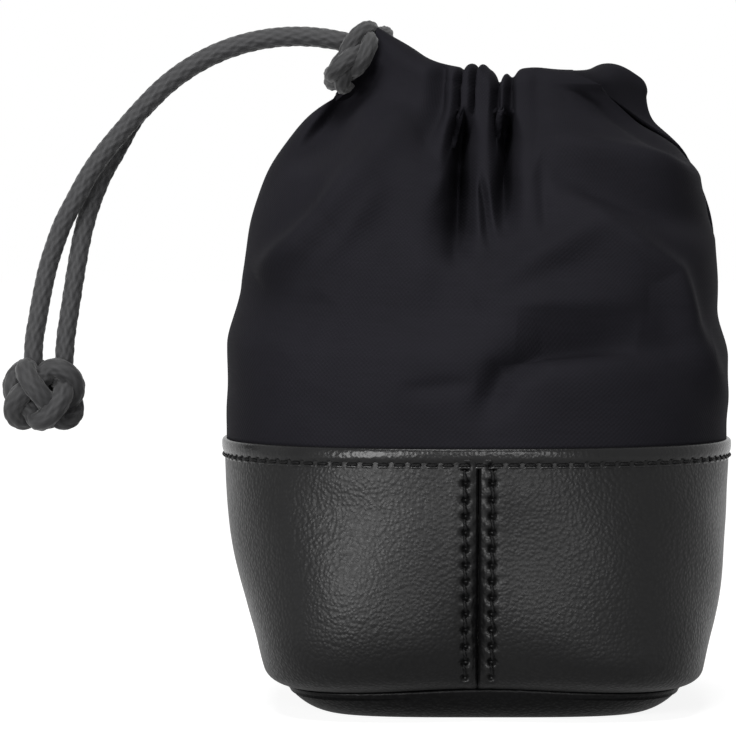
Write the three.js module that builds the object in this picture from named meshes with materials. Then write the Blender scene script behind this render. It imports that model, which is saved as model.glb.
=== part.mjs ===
// Drawstring lens pouch: a padded leather cup with a gathered nylon top, closed by a braided cord.
// Millimetres, +Z up, front faces -Y, origin under the middle of the foot.
import * as THREE from "three";

const { abs, acos, cos, exp, hypot, max, min, PI, pow, sin } = Math;
const { clamp, degToRad, lerp, radToDeg, smoothstep } = THREE.MathUtils;

// Clearance between neighbouring pieces, and half of it at a seam between two twins
const GAP = 0.3;
const SEAM = GAP / 2;

// Leather cup: outlines across X and Y, heights, sheet thickness
const RIM_WIDTH = 89.6;
const RIM_DEPTH = 85;
const BASE_WIDTH = 76.4;
const BASE_DEPTH = 71;
const FOOT_WIDTH = 56;
const FOOT_DEPTH = 51;
const LEAN = 1.2; // the cup leans: its foot stands this far to the right of its rim
const SEAM_HEIGHT = 5.7;
const RIM_HEIGHT = 47.2;
const LEATHER = 1.4;
const RIM_SQUARENESS = 2.4;
const BASE_SQUARENESS = 3.8;
const SIDE_TAPER = 1.8; // how late the cup narrows towards its foot, at the sides, at front and back
const FRONT_TAPER = 3;
const LIP_TURN = 3.4; // the wall's lower edge turns in under itself by this much
const LIP_RISE = 2.4; // over this height
const LIP_LAP = 0.6; // the base panel's edge reaches this far under the lip
const SEAM_ALLOWANCE = 6.5; // leather lies double this far from the centre seams
const BINDING = 0.6; // thickness of the strip folded over the rim
const BINDING_LEG = 2.6; // how far it reaches down on each side
const SKIVE = 0.6; // the wall is this much thinner under it

// Padding and lining of the cup
const PADDING = 3;
const PAD_MARGIN = 2; // the wall padding stops this far below the nylon's lower edge
const LINING = 0.7;

// Nylon top
const NYLON = 0.7;
const TUCK = 9; // the nylon reaches this far down inside the rim
const OVERHANG = 0.3; // above the rim it bulges out to this far inside the leather's face
const SHOULDER_LEFT = 4.8; // how late the top narrows, at the left, at the right, at front and back
const SHOULDER_RIGHT = 6.8;
const SHOULDER_FRONT = 3;
const SHOULDER_TOP = 0.955; // share of the height at which the narrowing ends at the left
const WAIST = 0.12; // share of the narrowing that is made at the waist, between these two heights
const WAIST_FOOT = 0.26;
const WAIST_TOP = 0.42;
const MOUTH_HEIGHT = 110; // centre of the drawcord at the front of the mouth
const MOUTH_X = 3;
const MOUTH_WIDTH = 47;
const MOUTH_DEPTH = 26;
const NECK_END = 50; // degrees from the left tip up to which the two casings run side by side
const CASING_DROP = 5.1; // casing stitching below the cord's centre
const CASING_FLARE = 2.5; // how far outside the cord the stitching lies
const CASING_LEG = 1.5; // straight part of the casing beside the cord
const SWELL = 1.2; // how far the cloth stands off the cord between two pleats
const SLIT_FOOT = 0.9; // the side slits start at this share of the way from rim to mouth
const LEFT_END = 29; // degrees from the left tip of the mouth to each casing's left end
const FRONT_END = 52; // degrees from the right tip to the front casing's end
const BACK_END = 8; // and to the back casing's, with the cord bare between them
const FLAP_END = 44; // under the bare cord the back panel laps round the tip by this much
const SLANT_STITCHED = 0.25; // share of the right slit's slant at the casing's stitching
const SLANT_LEG = 0.75; // and at the foot of the cord
const PLEAT_GROWTH = 6; // a pleat is deepest this far below the casing's stitching, and ends after its run
const FRONT_PLEATS = [
  { x: -2.8, width: 2, depth: 7.5, run: 23 },
  { x: 1.3, width: 0.9, depth: 1.2, run: 9 },
  { x: 4.8, width: 1.9, depth: 7, run: 19 },
  { x: 9.2, width: 1.1, depth: 1.6, run: 11 },
];
const BACK_PLEATS = [
  { x: -6.5, width: 2, depth: 4, run: 19 },
  { x: 0.5, width: 1.8, depth: 5, run: 22 },
  { x: 7, width: 1.9, depth: 4.5, run: 17 },
  { x: 14, width: 2.2, depth: 3.5, run: 20 },
];

// Main folds of the nylon below the casing: a line of points x, z seen from the front, width, height
const FOLD_FOOT = 10; // the cloth is smooth at the rim, and its folds have their full height this far above it
const FRONT_FOLDS = [
  { line: [[-16, 99], [-31, 82], [-37, 79]], width: 2.6, height: 1.6 },
  { line: [[-17, 107], [-28.5, 97]], width: 3, height: -1.9 },
  { line: [[-12, 96], [-22, 76], [-27, 62]], width: 3.6, height: -1 },
  { line: [[-26, 73], [-34, 64]], width: 3.6, height: -1.2 },
  { line: [[19, 85], [2, 75]], width: 2.6, height: 1.8 },
  { line: [[4, 71.5], [24, 72.5]], width: 2.6, height: 1 },
  { line: [[1.5, 55.5], [4, 61], [11, 65], [20, 66]], width: 2.8, height: -3 },
  { line: [[18, 66.5], [32, 65]], width: 3.4, height: -1.6 },
  { line: [[20, 88], [33, 77.5], [36, 68], [41, 58]], width: 2.4, height: 1.8 },
  { line: [[17, 94], [36, 88]], width: 3, height: -2 },
  { line: [[17, 99.5], [35, 96]], width: 2, height: 1 },
];
const BACK_FOLDS = [
  { line: [[-18, 102], [-30, 86]], width: 3, height: 1 },
  { line: [[-24, 104], [-36, 84]], width: 3.5, height: -1.1 },
  { line: [[-30, 70], [-12, 62]], width: 3.5, height: 0.9 },
  { line: [[-8, 68], [8, 62], [24, 65]], width: 3.5, height: -1.2 },
  { line: [[20, 98], [32, 80], [38, 64]], width: 3, height: 1.1 },
  { line: [[26, 100], [37, 82]], width: 3.5, height: -1 },
];

// Drawcord: the two strands leave the casings side by side and follow one arc, on which the slider runs
const CORD = 3.5;
const CORD_SIDES = 8;
const STRAND_GAP = 1.1; // between the two strands, which leave their casings side by side
const STRAND_Y = (CORD + STRAND_GAP) / 2;
const ARC_X = -31.9;
const ARC_Z = 83.1;
const ARC_RADIUS = 35.9;
const ARC_START = 72; // degrees, where both strands lie on the arc
const ARC_END = 138; // and where they leave it
const ARC_STEP = 6;

// Slider knot, wound round the strands, and end knot: thickness of the wound cord, size, bights
const SLIDER_CORD = 1.8;
const SLIDER_ROOM = 0.7; // play between its turns and the strands
const SLIDER_LENGTH = 9;
const SLIDER_AT = 75.5; // degrees on the arc
const SLIDER_BIGHTS = 4;
const END_CORD = 2.2;
const END_BALL_WIDTH = 16.2; // ball that its bights are wound on
const END_BALL_HEIGHT = 19;
const END_REACH = 52; // degrees of latitude that the bights reach
const END_BIGHTS = 4;
const END_X = -76.8;
const END_Z = 55.3;
const KNOT_LEADS = 3;
const KNOT_GAP = 1; // between two passes of the wound cord where they cross, straight out

// Free ends of the two strands after the arc: x, share of STRAND_Y, z. The last point meets the end knot
const FRONT_TAIL = [
  [-61.7, 1, 103.7],
  [-66, 0.97, 98.6],
  [-69, 0.9, 94.3],
  [-71.6, 0.76, 89.6],
  [-73.5, 0.53, 86],
  [-74.9, 0.26, 82.5],
  [-76.4, 0, 77.9],
  [-77.5, 0, 72.9],
  [-78.3, 0, 68.4],
  [-78.9, 0, 64.8],
  [-79.1, 0, 62.4],
];
const BACK_TAIL = [
  [-61.1, 1, 104.3],
  [-64.3, 0.97, 98.6],
  [-66.7, 0.9, 94.3],
  [-68.6, 0.76, 89.6],
  [-69.7, 0.53, 86],
  [-70.5, 0.26, 82.5],
  [-71.3, 0, 77.9],
  [-72.1, 0, 72.9],
  [-72.8, 0, 68.4],
  [-73.3, 0, 64.8],
  [-73.6, 0, 62.4],
];

// How finely the pieces are drawn
const CUP_STEPS = 48;
const PANEL_STEPS = 42;
const BODY_ROWS = 17;
const LOOP_STEPS = 36;
const STRAND_STEPS = 22;
const KNOT_STEPS = 72;
const KNOT_SIDES = 6;

// Layers of the cup, as insets from the leather's outer face
const INSIDE_LEATHER = LEATHER + GAP;
const INSIDE_BINDING = INSIDE_LEATHER + BINDING;
const NYLON_FACE = INSIDE_BINDING + GAP + SEAM;
const INSIDE_NYLON = NYLON_FACE + NYLON + SEAM + GAP;
const INSIDE_PADDING = INSIDE_LEATHER + PADDING + GAP;
const WALL_TOP = RIM_HEIGHT - BINDING - GAP;
const BOUND_FOOT = RIM_HEIGHT - BINDING_LEG - GAP - SEAM;
const LIP_TOP = SEAM_HEIGHT + LIP_RISE;
const TUCK_FOOT = RIM_HEIGHT - TUCK;
const PADDING_TOP = TUCK_FOOT - PAD_MARGIN;
const FLOOR_Z = LEATHER + GAP + PADDING + GAP;

// A solid between two grids of corners, the outer and the inner face of one sewn sheet.
// corner(i, k, inner) gives a corner: i runs anticlockwise round the pouch, k along the profile.
function sheet(columns, rows, wraps, corner) {
  const positions = [];
  const faces = [];
  for (const inner of [false, true]) {
    for (let i = 0; i < columns; i++) {
      for (let k = 0; k < rows; k++) {
        positions.push(...corner(i, k, inner));
      }
    }
  }
  const at = (i, k, inner) => (inner ? columns * rows : 0) + (i % columns) * rows + k;
  const quad = (a, b, c, d) => faces.push(a, b, c, a, c, d);
  const last = rows - 1;
  const spans = wraps ? columns : columns - 1;
  for (let i = 0; i < spans; i++) {
    const j = i + 1;
    for (let k = 0; k < last; k++) {
      quad(at(i, k, false), at(j, k, false), at(j, k + 1, false), at(i, k + 1, false));
      quad(at(i, k, true), at(i, k + 1, true), at(j, k + 1, true), at(j, k, true));
    }
    quad(at(i, 0, false), at(i, 0, true), at(j, 0, true), at(j, 0, false));
    quad(at(i, last, false), at(j, last, false), at(j, last, true), at(i, last, true));
  }
  if (!wraps) {
    const end = columns - 1;
    for (let k = 0; k < last; k++) {
      quad(at(0, k, false), at(0, k + 1, false), at(0, k + 1, true), at(0, k, true));
      quad(at(end, k, false), at(end, k, true), at(end, k + 1, true), at(end, k + 1, false));
    }
  }
  return solid(positions, faces);
}

// Corners and faces as a geometry, without the faces that have no area.
function solid(positions, faces) {
  const corner = (n) => new THREE.Vector3().fromArray(positions, 3 * n);
  const kept = [];
  for (let f = 0; f < faces.length; f += 3) {
    const triangle = new THREE.Triangle(corner(faces[f]), corner(faces[f + 1]), corner(faces[f + 2]));
    if (triangle.getArea() > 1e-6) kept.push(faces[f], faces[f + 1], faces[f + 2]);
  }
  const geometry = new THREE.BufferGeometry();
  geometry.setAttribute("position", new THREE.Float32BufferAttribute(positions, 3));
  geometry.setIndex(kept);
  geometry.computeVertexNormals();
  return geometry;
}

// Distance from the axis to a rounded-square outline, in the direction phi.
function reach(phi, halfX, halfY, squareness) {
  const across = pow(abs(cos(phi)) / halfX, squareness);
  const along = pow(abs(sin(phi)) / halfY, squareness);
  return pow(across + along, -1 / squareness);
}

function outlinePoint(phi, shift, halfX, halfY, squareness, z) {
  const r = reach(phi, halfX, halfY, squareness);
  return [shift + r * cos(phi), r * sin(phi), z];
}

// The leather wall's outline at height z, moved in by an inset.
function cupPoint(phi, z, inset) {
  const fall = clamp((RIM_HEIGHT - z) / (RIM_HEIGHT - SEAM_HEIGHT), 0, 1);
  const taper = pow(fall, SIDE_TAPER);
  const halfX = lerp(RIM_WIDTH, BASE_WIDTH, taper) / 2 - inset;
  const halfY = lerp(RIM_DEPTH, BASE_DEPTH, pow(fall, FRONT_TAPER)) / 2 - inset;
  const squareness = lerp(RIM_SQUARENESS, BASE_SQUARENESS, fall);
  return outlinePoint(phi, LEAN * taper, halfX, halfY, squareness, z);
}

const cupAngle = (i) => (2 * PI * i) / CUP_STEPS;

// The leather lies double beside the two centre seams, where the padding makes room for it.
function allowance(phi) {
  const x = cupPoint(phi, RIM_HEIGHT, 0)[0];
  return abs(x) < SEAM_ALLOWANCE ? LEATHER : 0;
}

// A layer of the cup that runs all the way round: rows hold z and inset of both faces.
function cupRing(rows) {
  return sheet(CUP_STEPS, rows.length, true, (i, k, inner) => {
    const [z, inset] = inner ? rows[k].inner : rows[k].outer;
    return cupPoint(cupAngle(i), z, inset);
  });
}

// A flat round piece: rows hold half width, half depth and z of the lower and upper face.
function disc(rows) {
  return sheet(CUP_STEPS, rows.length, true, (i, k, inner) => {
    const [halfX, halfY, z] = inner ? rows[k].upper : rows[k].lower;
    if (halfX === 0) return [LEAN, 0, z];
    return outlinePoint(cupAngle(i), LEAN, halfX, halfY, BASE_SQUARENESS, z);
  });
}

function slab(halfX, halfY, z, thickness) {
  return disc([
    { lower: [0, 0, z], upper: [0, 0, z + thickness] },
    { lower: [halfX, halfY, z], upper: [halfX, halfY, z + thickness] },
  ]);
}

// Base panel: flat foot, edge rising to the base seam under the wall's lip
function basePanel() {
  const edgeX = BASE_WIDTH / 2 - LIP_TURN + LIP_LAP;
  const edgeY = BASE_DEPTH / 2 - LIP_TURN + LIP_LAP;
  const rows = [{ lower: [0, 0, 0], upper: [0, 0, LEATHER] }];
  for (const rise of [0, 0.33, 0.66, 1]) {
    const halfX = lerp(FOOT_WIDTH / 2, edgeX, rise);
    const halfY = lerp(FOOT_DEPTH / 2, edgeY, rise);
    const z = (SEAM_HEIGHT - GAP) * pow(rise, 1.2);
    const tilt = 1.3 * LEATHER * rise;
    const upperZ = z + LEATHER * (1 - pow(rise, 4));
    rows.push({ lower: [halfX, halfY, z], upper: [halfX - tilt, halfY - tilt, upperZ] });
  }
  return disc(rows);
}

// Half of the leather wall, from its turned-in lower lip to the rim
function wallHalf(side) {
  const rows = [];
  for (const turn of [0, 0.4, 0.75, 1]) {
    const s = sin((turn * PI) / 2);
    const c = cos((turn * PI) / 2);
    rows.push({
      outer: [SEAM_HEIGHT + LIP_RISE * (1 - c), LIP_TURN * (1 - s)],
      inner: [LIP_TOP - (LIP_RISE - LEATHER) * c, LIP_TURN - (LIP_TURN - LEATHER) * s],
      doubled: 0,
    });
  }
  for (const rise of [0.22, 0.47, 0.74, 1]) {
    const z = lerp(LIP_TOP, BOUND_FOOT, rise);
    rows.push({ outer: [z, 0], inner: [z, LEATHER], doubled: z < PADDING_TOP ? 1 : 0 });
  }
  rows.push({ outer: [BOUND_FOOT + SEAM, SKIVE], inner: [BOUND_FOOT + SEAM, LEATHER], doubled: 0 });
  rows.push({ outer: [WALL_TOP, SKIVE], inner: [WALL_TOP, LEATHER], doubled: 0 });
  const start = side > 0 ? -PI / 2 : PI / 2;
  return sheet(CUP_STEPS / 2 + 1, rows.length, false, (i, k, inner) => {
    const phi = start + cupAngle(i);
    const [z, inset] = inner ? rows[k].inner : rows[k].outer;
    const fold = inner ? rows[k].doubled * allowance(phi) : 0;
    const [x, y] = cupPoint(phi, z, inset + fold);
    return [x + side * SEAM, y, z];
  });
}

// Binding: a strip folded over the rim, outer leg, crown and inner leg
function rimBinding() {
  const foot = RIM_HEIGHT - BINDING_LEG;
  const under = RIM_HEIGHT - BINDING;
  const round = RIM_HEIGHT - BINDING / 2;
  const face = SKIVE - GAP;
  return cupRing([
    { outer: [foot, face - BINDING], inner: [foot, face] },
    { outer: [round, face - BINDING], inner: [under, face] },
    { outer: [RIM_HEIGHT, LEATHER / 2], inner: [under, LEATHER / 2] },
    { outer: [round, INSIDE_BINDING], inner: [under, INSIDE_LEATHER] },
    { outer: [foot, INSIDE_BINDING], inner: [foot, INSIDE_LEATHER] },
  ]);
}

// Wall padding: fills the cup between leather and lining, up to the nylon's lower edge
function wallPadding() {
  const heights = [0, 0.3, 0.62, 1].map((rise) => lerp(LIP_TOP + GAP, PADDING_TOP, rise));
  return sheet(CUP_STEPS, heights.length, true, (i, k, inner) => {
    const phi = cupAngle(i);
    const inset = inner ? INSIDE_LEATHER + PADDING : INSIDE_LEATHER + allowance(phi);
    return cupPoint(phi, heights[k], inset);
  });
}

// Lining wall: lies on the padding, then steps out to the nylon, where both are sewn in at the rim
function liningWall() {
  const rows = [];
  const add = (z, inset) => rows.push({ outer: [z, inset], inner: [z, inset + LINING] });
  for (const rise of [0, 0.35, 0.7, 1]) add(lerp(SEAM_HEIGHT, PADDING_TOP, rise), INSIDE_PADDING);
  add(TUCK_FOOT + GAP, INSIDE_NYLON);
  add(WALL_TOP, INSIDE_NYLON);
  return cupRing(rows);
}

// The mouth's plan is a drop with a narrow neck at the left, where the strands leave side by side.
const MOUTH_BELLY = MOUTH_DEPTH / 2 / 0.77;
const CASING_ROOM = CORD / 2 + GAP + SEAM;
const NECK_HALF = CASING_ROOM + NYLON + SEAM;
function mouthHalf(turn) {
  const drop = MOUTH_BELLY * sin(turn) * sin(turn / 2);
  const neck = NECK_HALF * (1 - smoothstep(turn, degToRad(NECK_END), PI / 2));
  return pow(pow(drop, 4) + pow(neck, 4), 0.25);
}

// How far round from the mouth's left tip the direction phi lies
const fromTip = (phi) => acos(-cos(phi));

// The point of the mouth's plan in direction phi, moved out along the plan's own normal
function mouthPoint(phi, outset) {
  const side = sin(phi) < 0 ? -1 : 1;
  const turn = clamp(fromTip(phi), 0.08, PI - 0.01);
  const x = MOUTH_X - (MOUTH_WIDTH / 2) * cos(turn);
  const dx = (MOUTH_WIDTH / 2) * sin(turn);
  const step = 1e-3;
  const dy = (mouthHalf(turn + step) - mouthHalf(turn - step)) / (2 * step);
  const tip = 1 - smoothstep(turn, 0, 0.5);
  const length = hypot(dx, dy);
  const nx = lerp(-dy / length, -1, tip);
  const ny = lerp(dx / length, 0, tip);
  const unit = hypot(nx, ny);
  return [x + (outset * nx) / unit, side * (mouthHalf(turn) + (outset * ny) / unit)];
}

// Height of the cord's centre: level round the mouth, rising to the arc at the left.
const EXIT_X = mouthPoint(PI - degToRad(LEFT_END), 0)[0];
const EXIT_LIFT = ARC_Z + ARC_RADIUS * sin(acos((EXIT_X - ARC_X) / ARC_RADIUS)) - MOUTH_HEIGHT;
function cordHeight(phi) {
  const x = mouthPoint(phi, 0)[0];
  return MOUTH_HEIGHT + EXIT_LIFT * pow(max(0, (MOUTH_X - x) / (MOUTH_X - EXIT_X)), 2);
}

// How open the cloth is at x between the pleats of one panel: 0 in a pleat's valley, 1 between two.
function crest(pleats, x) {
  let valley = 0;
  for (const pleat of pleats) valley += exp(-pow((x - pleat.x) / pleat.width, 2));
  return 1 - min(1, valley);
}

// Depth of the pleats at x, a given drop below the casing's stitching.
function pleatDepth(pleats, x, drop) {
  let depth = 0;
  for (const pleat of pleats) {
    const fade = smoothstep(drop, 0, PLEAT_GROWTH) * (1 - smoothstep(drop, PLEAT_GROWTH, pleat.run));
    depth += pleat.depth * fade * exp(-pow((x - pleat.x) / pleat.width, 2));
  }
  return depth;
}

// Distance from x, z to a line through the given points
function lineDistance(x, z, line) {
  const point = new THREE.Vector3(x, 0, z);
  const nearest = new THREE.Vector3();
  let least = Infinity;
  for (let n = 1; n < line.length; n++) {
    const [[x0, z0], [x1, z1]] = [line[n - 1], line[n]];
    const stretch = new THREE.Line3(new THREE.Vector3(x0, 0, z0), new THREE.Vector3(x1, 0, z1));
    least = min(least, stretch.closestPointToPoint(point, true, nearest).distanceTo(point));
  }
  return least;
}

// How far the folds stand out at x, z, less than nothing where they fall in.
function foldHeight(folds, x, z) {
  let height = 0;
  for (const fold of folds) height += fold.height * exp(-pow(lineDistance(x, z, fold.line) / fold.width, 2));
  return height * smoothstep(z, RIM_HEIGHT, RIM_HEIGHT + FOLD_FOOT);
}

// One nylon panel, front or back: tucked foot, body, casing folded over the cord, hem
function upperPanel(side, pleats, folds, slanting, casingEnd) {
  const room = CASING_ROOM;
  const casing = (outerX, outerZ, innerX, innerZ, spread) => (phi, inner) => {
    const clear = smoothstep(fromTip(phi), degToRad(LEFT_END), degToRad(NECK_END));
    const open = SWELL * clear * crest(pleats, mouthPoint(phi, 0)[0]);
    const across = inner ? innerX : outerX;
    const [x, y] = mouthPoint(phi, across + spread * open);
    return [x, y, cordHeight(phi) + (inner ? innerZ : outerZ)];
  };
  const seat = CASING_FLARE + SEAM;
  const stitched = casing(seat + NYLON, -CASING_DROP, seat, -CASING_DROP, 1);
  const tuck = (z) => (phi, inner) => cupPoint(phi, z, inner ? NYLON_FACE + NYLON : NYLON_FACE);
  const body = (rise) => (phi, inner) => {
    const foot = cupPoint(phi, RIM_HEIGHT, OVERHANG);
    const top = stitched(phi, false);
    const sides = lerp(SHOULDER_LEFT, SHOULDER_RIGHT, (1 + cos(phi)) / 2);
    const shoulder = lerp(SHOULDER_FRONT, sides, pow(cos(phi), 2));
    const climb = min(1, rise / lerp(1, SHOULDER_TOP, pow(max(0, -cos(phi)), 4)));
    const narrow = lerp(pow(climb, shoulder), smoothstep(rise, WAIST_FOOT, WAIST_TOP), WAIST);
    const x = lerp(foot[0], top[0], narrow);
    const y = lerp(foot[1], top[1] * smoothstep(fromTip(phi), 0, degToRad(LEFT_END)), narrow);
    const z = lerp(foot[2], top[2], rise);
    const depth = pleatDepth(pleats, x, top[2] - z);
    const out = foldHeight(folds, x, z) - (inner ? NYLON * (1 + 0.4 * narrow) : 0);
    const stretch = 1 + out / hypot(x - MOUTH_X * narrow, y);
    return [MOUTH_X * narrow + (x - MOUTH_X * narrow) * stretch, y * stretch - side * depth, z];
  };
  const rows = [
    { left: 0, right: 0, point: tuck(TUCK_FOOT) },
    { left: 0, right: 0, point: tuck(RIM_HEIGHT + GAP) },
  ];
  for (let n = 1; n < BODY_ROWS; n++) {
    const rise = n / BODY_ROWS;
    const slit = smoothstep(rise, SLIT_FOOT, 1);
    rows.push({ left: slit, right: slanting * SLANT_STITCHED * slit, point: body(rise) });
  }
  rows.push({ left: 1, right: slanting * SLANT_STITCHED, point: stitched });
  const leg = casing(room + NYLON, -CASING_LEG, room, -CASING_LEG, 1);
  rows.push({ left: 1, right: slanting * SLANT_LEG, point: leg });
  for (const turn of [0, 45, 90, 135, 180]) {
    const c = cos(degToRad(turn));
    const s = sin(degToRad(turn));
    const over = casing((room + NYLON) * c, (room + NYLON) * s, room * c, room * s, c);
    const right = turn === 0 ? (slanting * SLANT_LEG + casingEnd) / 2 : casingEnd;
    rows.push({ left: 1, right, point: over });
  }
  const innerLeg = casing(-room - NYLON, -CASING_LEG, -room, -CASING_LEG, -1);
  rows.push({ left: 1, right: casingEnd, point: innerLeg });
  const hem = CASING_FLARE - SEAM;
  const hemmed = casing(hem - NYLON, -CASING_DROP, hem, -CASING_DROP, 0);
  rows.push({ left: 1, right: casingEnd, point: hemmed });
  const start = side < 0 ? PI : 0;
  return sheet(PANEL_STEPS + 1, rows.length, false, (i, k, inner) => {
    const { left, right, point } = rows[k];
    const ends = [degToRad(LEFT_END) * left, degToRad(right)];
    const [first, final] = side < 0 ? ends : ends.reverse();
    const v = (2 * i) / PANEL_STEPS - 1;
    const share = 0.5 + 0.5 * (0.6 * v + 0.4 * v * v * v);
    const phi = start + PI * share + first * smoothstep(1 - share, 0.5, 1) - final * smoothstep(share, 0.5, 1);
    const [x, y, z] = point(phi, inner);
    return [x, y + side * SEAM, z];
  });
}

// A round cord along a curve
function cordAlong(curve, steps) {
  const ring = [];
  for (let n = 0; n < CORD_SIDES; n++) {
    const turn = (2 * PI * n) / CORD_SIDES;
    ring.push(new THREE.Vector2((CORD / 2) * cos(turn), (CORD / 2) * sin(turn)));
  }
  return new THREE.ExtrudeGeometry(new THREE.Shape(ring), { steps, extrudePath: curve });
}

// The cord in the casings: from the front casing's left end round the mouth to the back casing's
function drawcordLoop() {
  const points = [];
  for (let n = 0; n <= LOOP_STEPS; n++) {
    const phi = lerp(-PI + degToRad(LEFT_END), PI - degToRad(LEFT_END), n / LOOP_STEPS);
    const around = phi < 0 ? phi + 2 * PI : phi;
    points.push(new THREE.Vector3(...mouthPoint(around, 0), cordHeight(around)));
  }
  return cordAlong(new THREE.CatmullRomCurve3(points), LOOP_STEPS);
}

// A point beside the arc: degrees along it, distance out from it, and y
function arcPoint(degrees, out, y) {
  const turn = degToRad(degrees);
  const r = ARC_RADIUS + out;
  return new THREE.Vector3(ARC_X + r * cos(turn), y, ARC_Z + r * sin(turn));
}

// One free strand: out of its casing, along the arc, then down its own tail
function strand(side, tail) {
  const exit = mouthPoint(PI - side * degToRad(LEFT_END), 0);
  const lead = arcPoint(ARC_START, 0, side * STRAND_Y);
  const start = new THREE.Vector3(...exit, cordHeight(PI - degToRad(LEFT_END)));
  const way = lead.clone().sub(start);
  const points = [start.addScaledVector(way.clone().normalize(), 2 * GAP)];
  for (let turn = ARC_START; turn <= ARC_END; turn += ARC_STEP) {
    points.push(arcPoint(turn, 0, side * STRAND_Y));
  }
  for (const [x, apart, z] of tail) points.push(new THREE.Vector3(x, side * STRAND_Y * apart, z));
  return cordAlong(new THREE.CatmullRomCurve3(points), STRAND_STEPS);
}

// A three-lead wound knot: the path goes round KNOT_LEADS times and weaves out and in at each crossing.
class WoundPath extends THREE.Curve {
  constructor(bights, place) {
    super();
    this.bights = bights;
    this.place = place;
  }
  getPoint(share) {
    const around = 2 * PI * KNOT_LEADS * share;
    const wave = 2 * PI * this.bights * share;
    return this.place(around, cos(wave), sin(2 * wave));
  }
}

// Least distance between two passes of a closed path, measured on its points, less the cord's thickness
function leastGap(path, thickness) {
  const points = path.getPoints(300);
  points.pop();
  const count = points.length;
  const lengths = path.getLength() / count;
  const apart = Math.ceil((2.2 * thickness) / lengths);
  let least = Infinity;
  for (let a = 0; a < count; a++) {
    for (let b = a + apart; b < count; b++) {
      if (count - b + a < apart) continue;
      least = min(least, points[a].distanceTo(points[b]));
    }
  }
  return least - thickness;
}

const weave = (thickness) => (thickness + KNOT_GAP) / 2 / sin(PI / 3);

// Slider: wound round both strands along the arc
const sliderPath = new WoundPath(SLIDER_BIGHTS, (around, along, over) => {
  const lift = weave(SLIDER_CORD);
  const out = CORD / 2 + SLIDER_ROOM + SLIDER_CORD / 2 + lift + lift * over;
  const shift = ((SLIDER_LENGTH - SLIDER_CORD) / 2) * along;
  const degrees = SLIDER_AT + radToDeg(shift / ARC_RADIUS);
  const y = STRAND_Y * sin((PI / 2) * sin(around)) + out * sin(around);
  return arcPoint(degrees, out * cos(around), y);
});

// End knot: the same weave on a ball, hung on the two tails
const endPath = new WoundPath(END_BIGHTS, (around, along, over) => {
  const lift = weave(END_CORD);
  const far = END_BALL_WIDTH / 2 - END_CORD / 2 - lift + lift * over;
  const latitude = degToRad(END_REACH) * along;
  const tall = (END_BALL_HEIGHT / END_BALL_WIDTH) * far * sin(latitude);
  const level = far * cos(latitude);
  return new THREE.Vector3(END_X + level * cos(around), level * sin(around), END_Z + tall);
});

// The wound cord closes on itself, so its tube has no ends.
const woundCord = (path, thickness) =>
  new THREE.TubeGeometry(path, KNOT_STEPS, thickness / 2, KNOT_SIDES, true);

console.log("slider knot, least gap to itself", leastGap(sliderPath, SLIDER_CORD).toFixed(2), "mm");
console.log("end knot, least gap to itself", leastGap(endPath, END_CORD).toFixed(2), "mm");

const leather = new THREE.MeshStandardMaterial({ name: "grained leather", color: 0x4a4a4c, roughness: 0.6 });
const strip = new THREE.MeshStandardMaterial({ name: "thin leather", color: 0x444446, roughness: 0.6 });
const nylon = new THREE.MeshStandardMaterial({ name: "woven nylon", color: 0x27262b, roughness: 0.8 });
const soft = new THREE.MeshStandardMaterial({ name: "soft lining", color: 0x3a3a3d, roughness: 0.95 });
const foam = new THREE.MeshStandardMaterial({ name: "foam", color: 0x8a8a86, roughness: 0.95 });
const braid = new THREE.MeshStandardMaterial({ name: "braided cord", color: 0x39393b, roughness: 0.7 });

const pouch = new THREE.Group();
pouch.name = "lens_pouch";

function add(name, geometry, material) {
  const mesh = new THREE.Mesh(geometry, material);
  mesh.name = name;
  pouch.add(mesh);
}

add("base_panel", basePanel(), leather);
add("wall_left", wallHalf(-1), leather);
add("wall_right", wallHalf(1), leather);
add("rim_binding", rimBinding(), strip);
add("wall_padding", wallPadding(), foam);
add("base_padding", slab(FOOT_WIDTH / 2 - GAP, FOOT_DEPTH / 2 - GAP, LEATHER + GAP, PADDING), foam);
add("lining_wall", liningWall(), soft);
const floorInset = INSIDE_PADDING + LINING + GAP;
add("lining_base", slab(BASE_WIDTH / 2 - floorInset, BASE_DEPTH / 2 - floorInset, FLOOR_Z, LINING), soft);
add("upper_front", upperPanel(-1, FRONT_PLEATS, FRONT_FOLDS, FRONT_END, FRONT_END), nylon);
add("upper_back", upperPanel(1, BACK_PLEATS, BACK_FOLDS, -FLAP_END, BACK_END), nylon);
add("drawcord_loop", drawcordLoop(), braid);
add("strand_front", strand(-1, FRONT_TAIL), braid);
add("strand_back", strand(1, BACK_TAIL), braid);
add("slider_knot", woundCord(sliderPath, SLIDER_CORD), braid);
add("end_knot", woundCord(endPath, END_CORD), braid);

export default pouch;
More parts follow.
